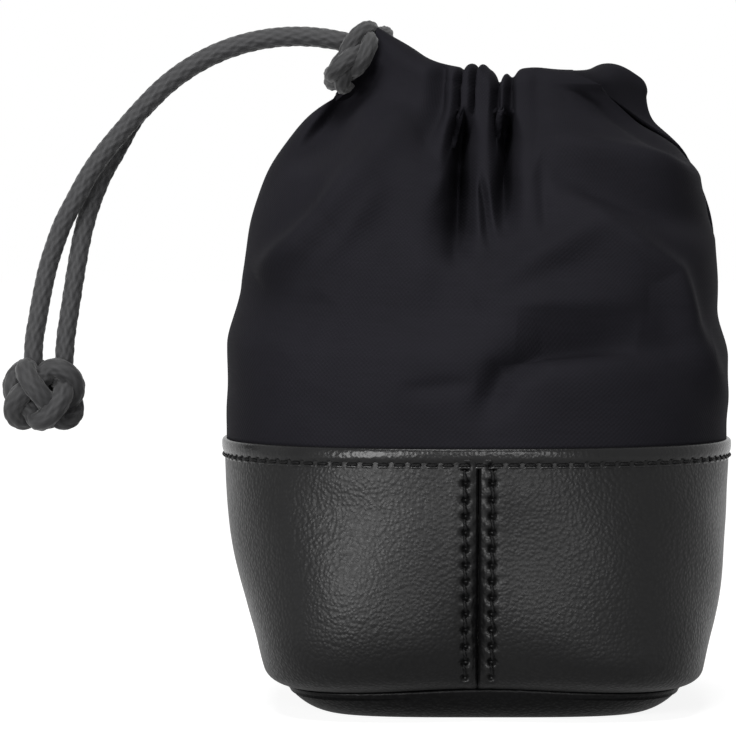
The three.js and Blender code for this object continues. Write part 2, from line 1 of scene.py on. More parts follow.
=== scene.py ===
import bmesh
import bpy
import numpy as np
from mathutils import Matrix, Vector


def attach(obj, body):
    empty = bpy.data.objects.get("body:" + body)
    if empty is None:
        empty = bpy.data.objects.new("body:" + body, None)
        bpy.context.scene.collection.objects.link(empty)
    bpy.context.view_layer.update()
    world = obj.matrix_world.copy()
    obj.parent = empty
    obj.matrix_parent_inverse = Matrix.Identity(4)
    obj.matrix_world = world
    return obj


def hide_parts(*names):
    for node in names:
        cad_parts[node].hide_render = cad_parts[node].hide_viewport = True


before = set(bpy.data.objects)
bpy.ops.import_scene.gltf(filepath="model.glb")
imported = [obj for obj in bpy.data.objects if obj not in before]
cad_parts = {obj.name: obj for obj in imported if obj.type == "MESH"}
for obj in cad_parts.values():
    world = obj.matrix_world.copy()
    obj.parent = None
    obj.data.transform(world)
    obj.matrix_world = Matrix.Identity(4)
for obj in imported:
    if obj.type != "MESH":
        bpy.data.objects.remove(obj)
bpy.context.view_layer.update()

scene = bpy.context.scene
scene.view_settings.view_transform = "Standard"


# Camera: a long lens 0.9 m in front of the pouch, a little above its rim and looking slightly down,
# as the photograph was taken. One millimetre at the pouch's middle is 5.6 pixels.
CAMERA_PLACE, CAMERA_TARGET = (-0.0193, -0.9, 0.092), (-0.0193, 0, 0.0599)
SENSOR, LENS = 36, 246.7


def set_up(thing, place, target):
    """Puts a camera or a lamp in its place and turns it to its target."""
    thing.location = place
    thing.rotation_euler = (Vector(target) - thing.location).to_track_quat("-Z", "Y").to_euler()
    scene.collection.objects.link(thing)


camera_data = bpy.data.cameras.new("photo_camera")
camera_data.sensor_width = SENSOR
camera_data.lens = LENS
camera = bpy.data.objects.new("photo_camera", camera_data)
set_up(camera, CAMERA_PLACE, CAMERA_TARGET)
scene.camera = camera


# Studio: a white room with a wide soft lamp low at the left front, a weak one in front and one overhead.
# The white floor keeps the pouch's contact shadow. Its glow for what the leather mirrors is dimmed close to
# the foot: a painted shadow under the pouch.
LAMPS = (
    # name, place, target, width, height, watts
    ("left_softbox", (-0.56, -0.9, 0.15), (0, 0, 0.07), 0.54, 0.28, 10.5),
    ("front_fill", (0.16, -1.05, 0.14), (0, 0, 0.07), 0.32, 0.24, 3.4),
    ("top_light", (-0.08, -0.45, 1.06), (0, 0, 0.08), 0.5, 0.5, 12),
)
ROOM_LIGHT = 0.1
FLOOR_HALF, FLOOR_PAINT, FLOOR_GLOW = 4, 0.35, 0.88
GLOW_NEAR, GLOW_FAR = 0.15, 1.2
SHADE_UNDER, SHADE_NEAR, SHADE_FAR = 0.3, 0.03, 0.12
WHITE = (1, 1, 1, 1)


def wire(tree, kind, inputs=None, **settings):
    """A shader node with its settings, and with its inputs, which are values or other nodes' outputs."""
    made = tree.nodes.new(kind)
    for key, value in settings.items():
        setattr(made, key, value)
    for key, value in (inputs or {}).items():
        if isinstance(value, bpy.types.NodeSocket):
            tree.links.new(value, made.inputs[key])
        else:
            made.inputs[key].default_value = value
    return made


def math(tree, operation, first, second=0.0, third=0.0):
    return wire(tree, "ShaderNodeMath", {0: first, 1: second, 2: third}, operation=operation).outputs[0]


def ranged(tree, value, low, high, start=0.0, stop=1.0):
    """Runs from low to high while the given value runs from start to stop."""
    limits = {"Value": value, "From Min": start, "From Max": stop, "To Min": low, "To Max": high}
    return wire(tree, "ShaderNodeMapRange", limits).outputs[0]


def show_white(tree, mirrored=1.0):
    """1 for camera rays, and the given level for rays that a shiny or clear surface sends on."""
    path = wire(tree, "ShaderNodeLightPath").outputs
    sent_on = math(tree, "MAXIMUM", path["Is Glossy Ray"], path["Is Transmission Ray"])
    return math(tree, "MAXIMUM", path["Is Camera Ray"], math(tree, "MULTIPLY", sent_on, mirrored))


for name, place, target, wide, tall, watts in LAMPS:
    lamp_data = bpy.data.lights.new(name, "AREA")
    lamp_data.shape = "RECTANGLE"
    lamp_data.size = wide
    lamp_data.size_y = tall
    lamp_data.energy = watts
    set_up(bpy.data.objects.new(name, lamp_data), place, target)

room = bpy.data.worlds.new("white_room")
scene.world = room
room.use_nodes = True
room_tree = room.node_tree
room_strength = math(room_tree, "MULTIPLY_ADD", show_white(room_tree), 1 - ROOM_LIGHT, ROOM_LIGHT)
room_tree.links.new(room_strength, room_tree.nodes["Background"].inputs["Strength"])
room_tree.nodes["Background"].inputs["Color"].default_value = WHITE

floor_corners = [(FLOOR_HALF * x, FLOOR_HALF * y, 0) for x, y in ((-1, -1), (1, -1), (1, 1), (-1, 1))]
floor_mesh = bpy.data.meshes.new("floor")
floor_mesh.from_pydata(floor_corners, [], [(0, 1, 2, 3)])
floor = bpy.data.objects.new("floor", floor_mesh)
scene.collection.objects.link(floor)
floor_paint = bpy.data.materials.new("white_floor")
floor_paint.use_nodes = True
tree = floor_paint.node_tree
tree.nodes.clear()
floor_matt = wire(tree, "ShaderNodeBsdfDiffuse", {"Color": (FLOOR_PAINT, FLOOR_PAINT, FLOOR_PAINT, 1)})
floor_place = wire(tree, "ShaderNodeNewGeometry").outputs["Position"]
floor_far = wire(tree, "ShaderNodeVectorMath", {0: floor_place}, operation="LENGTH").outputs["Value"]
floor_level = ranged(tree, floor_far, FLOOR_GLOW, 1.0, GLOW_NEAR, GLOW_FAR)
# Painted shadow: the glow that shiny surfaces see is dimmed close under the pouch.
floor_shade = ranged(tree, floor_far, SHADE_UNDER, 1.0, SHADE_NEAR, SHADE_FAR)
floor_strength = math(tree, "MULTIPLY", show_white(tree, floor_shade), floor_level)
floor_glow = wire(tree, "ShaderNodeEmission", {"Color": WHITE, "Strength": floor_strength})
floor_sum = wire(tree, "ShaderNodeAddShader", {0: floor_matt.outputs[0], 1: floor_glow.outputs[0]})
wire(tree, "ShaderNodeOutputMaterial", {"Surface": floor_sum.outputs[0]})
floor_mesh.materials.append(floor_paint)


# Leather base: one rounded panel of pebble-grained black leather, flat on the table.
# Its edge is drawn up all round and sewn to the walls in the seam under them. Sizes are in millimetres.
MM = 0.001
GAP = 0.3
LEATHER = 1.4
FOOT_WIDTH, FOOT_DEPTH, LEAN = 56, 51, 1.2
BASE_WIDTH, BASE_DEPTH, BASE_SQUARENESS, SEAM_HEIGHT = 76.4, 71, 3.8, 5.7
LIP_TURN, LIP_LAP = 3.4, 0.6
BASE_START, BASE_CURVE, BASE_SWELL = 0.06, 1.5, 0.5
EDGE_TURNS, EDGE_ROLL, ROLL_PACE = (0.3, 0.6, 0.9), 0.35, 1.7
CORNER_DROOP = 1.0
BASE_COLUMNS, FOOT_ROWS, BASE_ROWS = 320, 14, 16
PEBBLE_DRIFT, PORE_DEPTH, HIDE_TONE, GRAIN_TONE = 0.0006, 0.18, 0.5, 0.5
BASE_GLOSS = 0.1


def new_finish(name, gloss, sheen=0.0):
    """A new material with its constant gloss and sheen, its node tree and its shader."""
    made = bpy.data.materials.new(name)
    made.use_nodes = True
    shader = made.node_tree.nodes["Principled BSDF"]
    shader.inputs["Specular IOR Level"].default_value = gloss
    shader.inputs["Sheen Weight"].default_value = sheen
    return made, made.node_tree, shader


def on_piece(tree):
    """The place on the piece itself, so that a pattern moves with it."""
    return wire(tree, "ShaderNodeTexCoord").outputs["Object"]


def mottle(tree, place, scale, detail, output="Fac"):
    inputs = {"Vector": place, "Scale": scale, "Detail": detail}
    return wire(tree, "ShaderNodeTexNoise", inputs).outputs[output]


def pebbles(tree, place, scale, smoothness):
    inputs = {"Vector": place, "Scale": scale, "Smoothness": smoothness}
    return wire(tree, "ShaderNodeTexVoronoi", inputs, feature="SMOOTH_F1").outputs["Distance"]


def colour(tree, shader, tone, dark, pale, dark_at=0.0, pale_at=1.0):
    """Colour from dark to pale while the tone rises from one mark to the other."""
    ramp = wire(tree, "ShaderNodeValToRGB", {"Fac": tone})
    for step, at, paint in zip(ramp.color_ramp.elements, (dark_at, pale_at), (dark, pale)):
        step.position = at
        step.color = (*paint, 1)
    tree.links.new(ramp.outputs[0], shader.inputs["Base Color"])


def surface(tree, shader, roughness, relief, strength, depth):
    """Roughness, and a bump of some strength and depth in metres."""
    tree.links.new(roughness, shader.inputs["Roughness"])
    bump = wire(tree, "ShaderNodeBump", {"Strength": strength, "Distance": depth, "Height": relief})
    tree.links.new(bump.outputs[0], shader.inputs["Normal"])


leather_finish, tree, shader = new_finish("pebbled_leather", gloss=0.18)
place = on_piece(tree)
drift = mottle(tree, place, scale=500.0, detail=2.0, output="Color")
bent = wire(
    tree, "ShaderNodeVectorMath", {0: drift, 1: (PEBBLE_DRIFT,) * 3, 2: place}, operation="MULTIPLY_ADD"
).outputs[0]
dome = math(tree, "SUBTRACT", 1.0, pebbles(tree, bent, scale=1500.0, smoothness=0.35))
pore = mottle(tree, place, scale=3800.0, detail=3.0)
hide = mottle(tree, place, scale=45.0, detail=4.0)
grain = math(tree, "MULTIPLY_ADD", pore, PORE_DEPTH, dome)
tone = math(tree, "MULTIPLY_ADD", hide, HIDE_TONE, math(tree, "MULTIPLY", grain, GRAIN_TONE))
colour(tree, shader, tone, (0.001, 0.001, 0.0011), (0.0045, 0.0045, 0.0047), dark_at=0.3, pale_at=0.85)
rough = ranged(tree, dome, low=0.45, high=0.33, start=0.3)
surface(tree, shader, rough, grain, strength=0.8, depth=0.00011)
# A copy of the leather with less gloss for the base, so it mirrors less of the white floor: painted shade
# along the foot.
base_finish_painted_shade = leather_finish.copy()
base_finish_painted_shade.name = "base_leather_painted_shade"
base_finish_painted_shade.node_tree.nodes["Principled BSDF"].inputs["Specular IOR Level"].default_value = BASE_GLOSS


def rounded_square(phi, half_x, half_y, squareness):
    across = (np.abs(np.cos(phi)) / np.maximum(half_x, 1e-6)) ** squareness
    along = (np.abs(np.sin(phi)) / np.maximum(half_y, 1e-6)) ** squareness
    reach = (across + along) ** (-1 / squareness)
    return reach * np.cos(phi), reach * np.sin(phi)


def points_at(x, y, z):
    """A row of points, at one height or each at its own."""
    return np.stack([x, y, np.broadcast_to(z, x.shape)], 1)


def grid_object(name, points, closed_across, closed_along, across_uv, along_uv):
    """A smooth mesh of quads through a grid of points in millimetres: rows along, columns across."""
    rows, columns = points.shape[:2]
    index = np.arange(rows * columns).reshape(rows, columns)
    if closed_along:
        index = np.concatenate([index, index[:1]])
    if closed_across:
        index = np.concatenate([index, index[:, :1]], axis=1)
    quads = np.stack([index[:-1, :-1], index[:-1, 1:], index[1:, 1:], index[1:, :-1]], -1).reshape(-1, 4)
    mesh = bpy.data.meshes.new(name)
    mesh.from_pydata((points.reshape(-1, 3) * MM).tolist(), [], quads.tolist())
    u = np.broadcast_to(across_uv, (rows, columns)).ravel()
    v = np.broadcast_to(along_uv[:, None], (rows, columns)).ravel()
    uv = np.stack([u, v], 1)[quads.ravel()]
    mesh.uv_layers.new(name="cut").data.foreach_set("uv", uv.ravel().astype(np.float32))
    mesh.polygons.foreach_set("use_smooth", np.ones(len(quads), bool))
    made = bpy.data.objects.new(name, mesh)
    scene.collection.objects.link(made)
    return made


def normals_of(points, closed_across):
    if closed_across:
        across = np.roll(points, -1, 1) - np.roll(points, 1, 1)
    else:
        across = np.gradient(points, axis=1)
    normal = np.cross(across, np.gradient(points, axis=0))
    return normal / np.maximum(np.linalg.norm(normal, axis=-1, keepdims=True), 1e-9)


def sewn_sheet(name, face, thickness, closed_across=False, from_centre=False):
    """A sheet of some thickness with its outer face given: rows upwards, columns anticlockwise."""
    face = np.array(face)
    normal = normals_of(face, closed_across)
    normal[0] = normal[1]
    back = face - thickness * normal
    head = (face[-1:] + back[-1:]) / 2
    skin = np.concatenate([face, head, back[::-1]])
    if not from_centre:
        foot = (face[:1] + back[:1]) / 2
        skin = np.concatenate([foot, skin])
    if not closed_across:
        middle = skin.copy()
        middle[1:] = (skin[1:] + skin[:0:-1]) / 2
        skin = np.concatenate([middle[:, :1], skin, middle[:, -1:]], axis=1)
    lengths = np.linalg.norm(np.diff(skin, axis=0), axis=2).mean(1)
    along = np.concatenate([[0], np.cumsum(lengths)])
    widths = np.linalg.norm(np.diff(skin[len(face) // 4], axis=0), axis=1)
    across = np.concatenate([[0], np.cumsum(widths)])
    made = grid_object(name, skin, closed_across, not from_centre, across, along)
    weld = bmesh.new()
    weld.from_mesh(made.data)
    bmesh.ops.remove_doubles(weld, verts=weld.verts, dist=1e-6)
    weld.to_mesh(made.data)
    weld.free()
    return made


def corner_droop(phi):
    """The base seam hangs lower at the pouch's four corners."""
    return CORNER_DROOP * np.sin(2 * phi) ** 2


base_phi = np.linspace(0, 2 * np.pi, BASE_COLUMNS, endpoint=False)
base_rows = [(FOOT_WIDTH / 2 * share, FOOT_DEPTH / 2 * share, 0) for share in np.linspace(0, 1, FOOT_ROWS)]
base_edge_x = BASE_WIDTH / 2 - LIP_TURN + LIP_LAP
base_edge_y = BASE_DEPTH / 2 - LIP_TURN + LIP_LAP
for rise in np.linspace(BASE_START, 1, BASE_ROWS):
    swell = BASE_SWELL * np.sin(np.pi * rise)
    half_x = FOOT_WIDTH / 2 + (base_edge_x - FOOT_WIDTH / 2) * rise + swell
    half_y = FOOT_DEPTH / 2 + (base_edge_y - FOOT_DEPTH / 2) * rise + swell
    base_rows.append((half_x, half_y, (SEAM_HEIGHT - GAP) * rise ** BASE_CURVE))
for turn in EDGE_TURNS:
    edge_z = SEAM_HEIGHT - GAP + EDGE_ROLL * np.sin(turn * ROLL_PACE)
    base_rows.append((base_edge_x - turn, base_edge_y - turn, edge_z))
base_face = []
for half_x, half_y, z in base_rows:
    x, y = rounded_square(base_phi, half_x, half_y, BASE_SQUARENESS)
    base_face.append(points_at(LEAN + x, y, z - z / SEAM_HEIGHT * corner_droop(base_phi)))
leather_base = sewn_sheet("leather_base", base_face, LEATHER, closed_across=True, from_centre=True)
leather_base.data.materials.append(base_finish_painted_shade)
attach(leather_base, "pouch")
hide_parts("base_panel")


# Leather walls: two half rounds of the same leather, sewn together at the middle of the front and the back.
# Each edge is turned under at the seam and stitched down beside it, and the foot turns in to the base seam.
RIM_WIDTH, RIM_DEPTH, RIM_HEIGHT, RIM_SQUARENESS = 89.6, 85, 47.2, 2.4
SIDE_TAPER, FRONT_TAPER, CORNER_TAPER = 1.8, 2.4, 13
LIP_RISE, WALL_TOP, CORNER_DROOP_END = 2.4, RIM_HEIGHT - 1.4, 20
SEAM_X, SEAM_REACH, SEAM_OPEN = -0.45, 16, 0.04
SEAM_GROOVE, GROOVE_HALF, GROOVE_CURVE = 0.55, 0.45, 1.3
EDGE_PUFFS = ((1.1, 0.6, 0.24), (4.0, 1.3, 0.12))  # distance from the seam, width, height
STITCH_ROW, STITCH_PITCH, STITCH_FOOT, SEAM_STITCHES = 2.3, 2.8, 8.1, 13
BEAD_RISE, BEAD_INWARD, BEAD_WIDTH, BEAD_FROM, BEAD_TO = 0.5, 0.4, 0.9, 0.2, 1.2
HOLE_DEPTH, HOLE_ACROSS, HOLE_ALONG = 1.0, 0.6, 0.48
UNEVENNESS = ((0.25, 3, 9, 0), (0.18, 7, -6, 1), (0.1, 11, 4, 0))  # height, waves round, rise, start
UNEVEN_FROM, UNEVEN_TO = (8, 16), (36, 44)
WALL_COLUMNS, LIP_ROWS, WALL_ROWS, SEAM_CROWDING = 221, 12, 170, 0.92


def smooth(value, low, high):
    t = np.clip((value - low) / (high - low), 0, 1)
    return t * t * (3 - 2 * t)


def bump_at(distance, width):
    return np.exp(-((distance / width) ** 2))


def leaning(z):
    """How far down from rim to seam a height is, and how far the cup leans to the right there."""
    fall = np.clip((RIM_HEIGHT - z) / (RIM_HEIGHT - SEAM_HEIGHT), 0, 1)
    return fall, LEAN * fall ** SIDE_TAPER


def cup_outline(phi, z, inset):
    fall, lean = leaning(z)
    half_x = (RIM_WIDTH + (BASE_WIDTH - RIM_WIDTH) * fall ** SIDE_TAPER) / 2 - inset
    front_taper = FRONT_TAPER + CORNER_TAPER * np.abs(np.sin(2 * phi))
    half_y = (RIM_DEPTH + (BASE_DEPTH - RIM_DEPTH) * fall ** front_taper) / 2 - inset
    x, y = rounded_square(phi, half_x, half_y, RIM_SQUARENESS + (BASE_SQUARENESS - RIM_SQUARENESS) * fall)
    return x + lean, y


def seam_shift(off, z):
    """The centre seams stand upright, though the cup leans a little to the right at its foot."""
    return (SEAM_X - leaning(z)[1]) * bump_at(off, SEAM_REACH)


def off_hole(stitch):
    """How far a place in a row of stitches, counted in stitches, is from the nearest needle hole."""
    return np.abs(stitch - np.round(stitch)) * STITCH_PITCH


def wall_relief(off, z, phi):
    """How far the leather stands out: seam, stitch rows with their holes, soft unevenness."""
    off = np.abs(off)
    groove = -SEAM_GROOVE * np.clip(1 - off / GROOVE_HALF, 0, 1) ** GROOVE_CURVE
    puff = sum(height * bump_at(off - at, width) for at, width, height in EDGE_PUFFS)
    hole_at = off_hole((z - STITCH_FOOT) / STITCH_PITCH)
    between_holes = smooth(hole_at, BEAD_FROM, BEAD_TO)
    beads = BEAD_RISE * bump_at(off - STITCH_ROW + BEAD_INWARD, BEAD_WIDTH) * between_holes
    holes = -HOLE_DEPTH * bump_at(off - STITCH_ROW, HOLE_ACROSS) * bump_at(hole_at, HOLE_ALONG)
    soft = sum(height * np.sin(waves * phi + z / rise + start) for height, waves, rise, start in UNEVENNESS)
    return groove + puff + beads + holes + soft * smooth(z, *UNEVEN_FROM) * (1 - smooth(z, *UNEVEN_TO))


wall_share = np.linspace(0, 1, WALL_COLUMNS)
wall_turn = np.pi * (wall_share - SEAM_CROWDING * np.sin(2 * np.pi * wall_share) / (2 * np.pi))
wall_profile = []
for angle in np.linspace(0, 1, LIP_ROWS) * np.pi / 2:
    wall_profile.append((SEAM_HEIGHT + LIP_RISE * (1 - np.cos(angle)), LIP_TURN * (1 - np.sin(angle))))
for z in np.linspace(SEAM_HEIGHT + LIP_RISE, WALL_TOP, WALL_ROWS)[1:]:
    wall_profile.append((z, 0))
for name, side in (("left", -1), ("right", 1)):
    phi = wall_turn - side * np.pi / 2
    face = []
    for z, inset in wall_profile:
        off = cup_outline(phi, z, inset)[0] - leaning(z)[1]
        x, y = cup_outline(phi, z, inset - wall_relief(off, z, phi))
        x = np.where(np.abs(off) < 1e-3, leaning(z)[1], x) + seam_shift(off, z)
        low = z - corner_droop(phi) * (1 - smooth(z, SEAM_HEIGHT, CORNER_DROOP_END))
        face.append(points_at(x + side * SEAM_OPEN, y, low))
    wall = sewn_sheet("leather_" + name, face, LEATHER)
    wall.data.materials.append(leather_finish)
    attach(wall, "pouch")
    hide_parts("wall_" + name)


# Rim strip: a thin smooth leather strip folded over the walls' upper edge,
# stitched through below the fold, with the nylon sewn in behind it.
STRIP, STRIP_STEP, STRIP_COLUMNS = 0.45, 0.2, 1400
STRIP_PROFILE = (
    # height from the rim, distance out from the wall's face
    (-3.05, -0.15), (-3, 0.05), (-2.8, 0.14), (-2.4, 0.08), (-2, 0.2), (-1.4, 0.42),
    (-0.7, 0.5), (0, 0.48), (0.35, 0.32), (0.5, -0.2), (0.4, -0.8),
    (-0.15, -1.3), (-0.5, -1.7), (-1.1, -1.95), (-2, -2.1), (-2.8, -2.15),
)
ROW_DROP = 2.4
RIM_ROW = RIM_HEIGHT - ROW_DROP
RIM_HOLE_DEPTH, RIM_HOLE_ACROSS, RIM_HOLE_ALONG = 0.7, 0.4, 0.36
STRIP_FOLD = -0.2

strip_finish, tree, shader = new_finish("smooth_leather", gloss=0.17)
place = on_piece(tree)
crease = pebbles(tree, place, scale=1700.0, smoothness=0.4)
tone = mottle(tree, place, scale=130.0, detail=4.0)
colour(tree, shader, tone, (0.003, 0.003, 0.0031), (0.009, 0.009, 0.0093))
surface(tree, shader, ranged(tree, tone, low=0.2, high=0.3), crease, strength=0.3, depth=0.00015)


def even_route(points, spacing, closed=False):
    """Points at an even spacing on a smooth curve through the given ones."""
    points = np.array(points, float)
    if closed:
        ring = np.concatenate([points[-1:], points, points[:2]])
    else:
        ring = np.concatenate([2 * points[:1] - points[1:2], points, 2 * points[-1:] - points[-2:-1]])
    t = np.linspace(0, 1, 12, endpoint=False)[:, None]
    pieces = []
    for a, b, c, d in zip(ring, ring[1:], ring[2:], ring[3:]):
        pieces.append(b + 0.5 * t * (c - a + t * (2 * a - 5 * b + 4 * c - d + t * (3 * b - a - 3 * c + d))))
    fine = np.concatenate([*pieces, points[:1] if closed else points[-1:]])
    along = np.concatenate([[0], np.cumsum(np.linalg.norm(np.diff(fine, axis=0), axis=1))])
    stops = np.linspace(0, along[-1], int(round(along[-1] / spacing)) + 1)
    route = np.stack([np.interp(stops, along, fine[:, axis]) for axis in range(3)], 1)
    return route[:-1] if closed else route


strip_phi = np.linspace(0, 2 * np.pi, STRIP_COLUMNS, endpoint=False)
row_x, row_y = cup_outline(strip_phi, RIM_ROW, 0)
row_along = np.concatenate([[0], np.cumsum(np.hypot(np.diff(row_x), np.diff(row_y)))])
row_length = row_along[-1] + np.hypot(row_x[0] - row_x[-1], row_y[0] - row_y[-1])
rim_count = int(round(row_length / STITCH_PITCH))
row_hole = bump_at(off_hole(row_along / row_length * rim_count), RIM_HOLE_ALONG)
strip_face = []
for z, out in even_route([(z, out, 0) for z, out in STRIP_PROFILE], STRIP_STEP)[:, :2]:
    hole = RIM_HOLE_DEPTH * row_hole * bump_at(z + ROW_DROP, RIM_HOLE_ACROSS) * (out > STRIP_FOLD)
    x, y = cup_outline(strip_phi, min(RIM_HEIGHT + z, RIM_HEIGHT), hole - out)
    strip_face.append(points_at(x, y, RIM_HEIGHT + z))
rim_strip = sewn_sheet("rim_strip", strip_face, STRIP, closed_across=True)
rim_strip.data.materials.append(strip_finish)
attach(rim_strip, "pouch")
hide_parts("rim_binding")


# Stitches: bonded black thread, one row round the rim strip and one on each side of both centre seams.
# Each stitch lies in the leather it pulls down and dives into its holes at both ends.
SEAM_THREAD, RIM_THREAD = 0.6, 0.5
SEAM_STITCH, RIM_STITCH, SEAM_SLANT = STITCH_PITCH * 0.8, STITCH_PITCH * 0.78, 0.18
THREAD_RISE, THREAD_DIVE, THREAD_TIP = 0.42, 0.75, 0.04
THREAD_RINGS, THREAD_SIDES = 9, 8
RIM_LIFT = 0.08

thread_finish, tree, shader = new_finish("bonded_thread", gloss=0.07)
ply = wire(
    tree, "ShaderNodeTexWave", {"Vector": on_piece(tree), "Scale": 900.0, "Distortion": 1.5, "Detail": 1.0},
    bands_direction="DIAGONAL",
).outputs["Fac"]
colour(tree, shader, ply, (0.0015, 0.0015, 0.0016), (0.006, 0.006, 0.0062))
surface(tree, shader, ranged(tree, ply, low=0.42, high=0.6), ply, strength=0.5, depth=0.0001)


def unit(vectors):
    return vectors / np.linalg.norm(vectors, axis=-1, keepdims=True)


def stitch_row(name, places, thread):
    """One object with a short bowed thread at each (middle, direction, outward, length) place."""
    bow = np.linspace(-1, 1, THREAD_RINGS)
    around = 2 * np.pi * np.arange(THREAD_SIDES) / THREAD_SIDES
    corners, faces = [], []
    for middle, ahead, outward, length in places:
        middle, ahead, outward = (np.array(v, float) for v in (middle, ahead, outward))
        sideways = np.cross(ahead, outward)
        first = len(corners)
        for t in bow:
            height = THREAD_RISE - THREAD_DIVE * t ** 4
            centre = middle + ahead * t * length / 2 + outward * thread * height
            radius = thread / 2 * np.sqrt(max(THREAD_TIP, 1 - t ** 8))
            for turn in around:
                corners.append(centre + radius * (np.cos(turn) * sideways + np.sin(turn) * outward))
        for ring in range(len(bow) - 1):
            for n in range(THREAD_SIDES):
                a = first + ring * THREAD_SIDES + n
                b = first + ring * THREAD_SIDES + (n + 1) % THREAD_SIDES
                faces.append((a, b, b + THREAD_SIDES, a + THREAD_SIDES))
        faces.append(tuple(range(first + THREAD_SIDES - 1, first - 1, -1)))
        last = first + THREAD_SIDES * (len(bow) - 1)
        faces.append(tuple(range(last, last + THREAD_SIDES)))
    mesh = bpy.data.meshes.new(name)
    mesh.from_pydata((np.array(corners) * MM).tolist(), [], faces)
    mesh.polygons.foreach_set("use_smooth", np.ones(len(faces), bool))
    mesh.materials.append(thread_finish)
    made = bpy.data.objects.new(name, mesh)
    scene.collection.objects.link(made)
    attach(made, "pouch")
    return made


def wall_place(off, z, facing):
    """Point, upward direction and outward normal on the wall's front (-1) or back (1), beside the seam."""
    def point(off, z):
        phi = facing * np.pi / 2 - facing * np.arctan2(off, RIM_DEPTH / 2)
        for _ in range(8):
            x, y = cup_outline(phi, z, 0)
            phi += facing * (x - leaning(z)[1] - off) / abs(y)
        x, y = cup_outline(phi, z, -wall_relief(off, z, phi))
        return np.array((x + seam_shift(off, z), y, z))

    here = point(off, z)
    up = unit(point(off, z + 0.5) - here)
    across = unit(point(off + 0.3, z) - here)
    return here, up, unit(np.cross(across, up)) * -facing


seam_places = []
for facing in (-1, 1):
    for row in (-STITCH_ROW, STITCH_ROW):
        for n in range(SEAM_STITCHES):
            here, up, outward = wall_place(row, STITCH_FOOT + (n + 0.5) * STITCH_PITCH, facing)
            slanted = unit(up + SEAM_SLANT * np.cross(outward, up))
            seam_places.append((here, slanted, outward, SEAM_STITCH))
seam_stitches = stitch_row("seam_stitches", seam_places, SEAM_THREAD)

rim_places = []
for n in range(rim_count):
    at = np.interp((n + 0.5) / rim_count * row_length, row_along, strip_phi)
    x, y = cup_outline(np.array([at, at + 0.01]), RIM_ROW, -RIM_LIFT)
    ahead = unit(np.array((x[1] - x[0], y[1] - y[0], 0)))
    rim_places.append(((x[0], y[0], RIM_ROW), ahead, np.cross(ahead, (0, 0, 1)), RIM_STITCH))
rim_stitches = stitch_row("rim_stitches", rim_places, RIM_THREAD)


# Padding: sheets of soft foam between leather and lining, one round the wall and one on the base.
# They lie loose in the leather cup, and the lining that is sewn in over them keeps them there.
PADDING, PAD_MARGIN, TUCK = 3, 2, 9
INSIDE_LEATHER = LEATHER + GAP
INSIDE_PADDING = INSIDE_LEATHER + PADDING + GAP
PADDING_TOP = RIM_HEIGHT - TUCK - PAD_MARGIN
WALL_FOAM, WALL_EASE = PADDING - 0.9, 0.8
BASE_FOAM, BASE_EASE = PADDING - 1, 1
BASE_FOAM_ROWS = ((0, 0), (0.5, 0), (0.9, 0), (0.97, 0.3), (1, 0.9))  # share of the half width, height
FOAM_COLUMNS, FOAM_ROWS = 120, 16

foam_finish, tree, shader = new_finish("soft_foam", gloss=0.2)
cell = wire(tree, "ShaderNodeTexVoronoi", {"Vector": on_piece(tree), "Scale": 1500.0}).outputs["Distance"]
colour(tree, shader, cell, (0.16, 0.16, 0.155), (0.3, 0.3, 0.29))
surface(tree, shader, ranged(tree, cell, low=0.85, high=1.0), cell, strength=0.5, depth=0.0003)

pad_phi = np.linspace(0, 2 * np.pi, FOAM_COLUMNS, endpoint=False)
pad_face = []
for z in np.linspace(SEAM_HEIGHT + LIP_RISE + GAP, PADDING_TOP, FOAM_ROWS):
    x, y = cup_outline(pad_phi, z, INSIDE_LEATHER + WALL_EASE)
    pad_face.append(points_at(x, y, z))
cup_padding = sewn_sheet("cup_padding", pad_face, WALL_FOAM, closed_across=True)
pad_face = []
for share, z in BASE_FOAM_ROWS:
    half_x = (FOOT_WIDTH / 2 - BASE_EASE) * share
    half_y = (FOOT_DEPTH / 2 - BASE_EASE) * share
    x, y = rounded_square(pad_phi, half_x, half_y, BASE_SQUARENESS)
    pad_face.append(points_at(LEAN + x, y, LEATHER + GAP + z))
base_foam = sewn_sheet("base_foam", pad_face, BASE_FOAM, closed_across=True, from_centre=True)
for foam, node in ((cup_padding, "wall_padding"), (base_foam, "base_padding")):
    foam.data.materials.append(foam_finish)
    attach(foam, "pouch")
    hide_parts(node)


# Lining: brushed knit that lies on the padding and closes the cup inside, with its own floor sewn in.
# Its upper edge steps out over the padding and is sewn in at the rim with the nylon.
LINING_ROOM, LINING = 0.7, 0.6
LINING_AT_RIM, LINING_TOP = 3.5, RIM_HEIGHT - 0.9
LINING_WAVE, WALL_WAVES, WAVE_RISE, FLOOR_WAVES = 0.1, 9, 3, 5
LINING_COLUMNS, LINING_ROWS, FLOOR_ROWS = 200, 40, 14

lining_finish, tree, shader = new_finish("brushed_lining", gloss=0.15, sheen=0.3)
nap = mottle(tree, on_piece(tree), scale=1400.0, detail=4.0)
colour(tree, shader, nap, (0.02, 0.02, 0.022), (0.05, 0.05, 0.054))
surface(tree, shader, ranged(tree, nap, low=0.85, high=1.0), nap, strength=0.5, depth=0.0002)

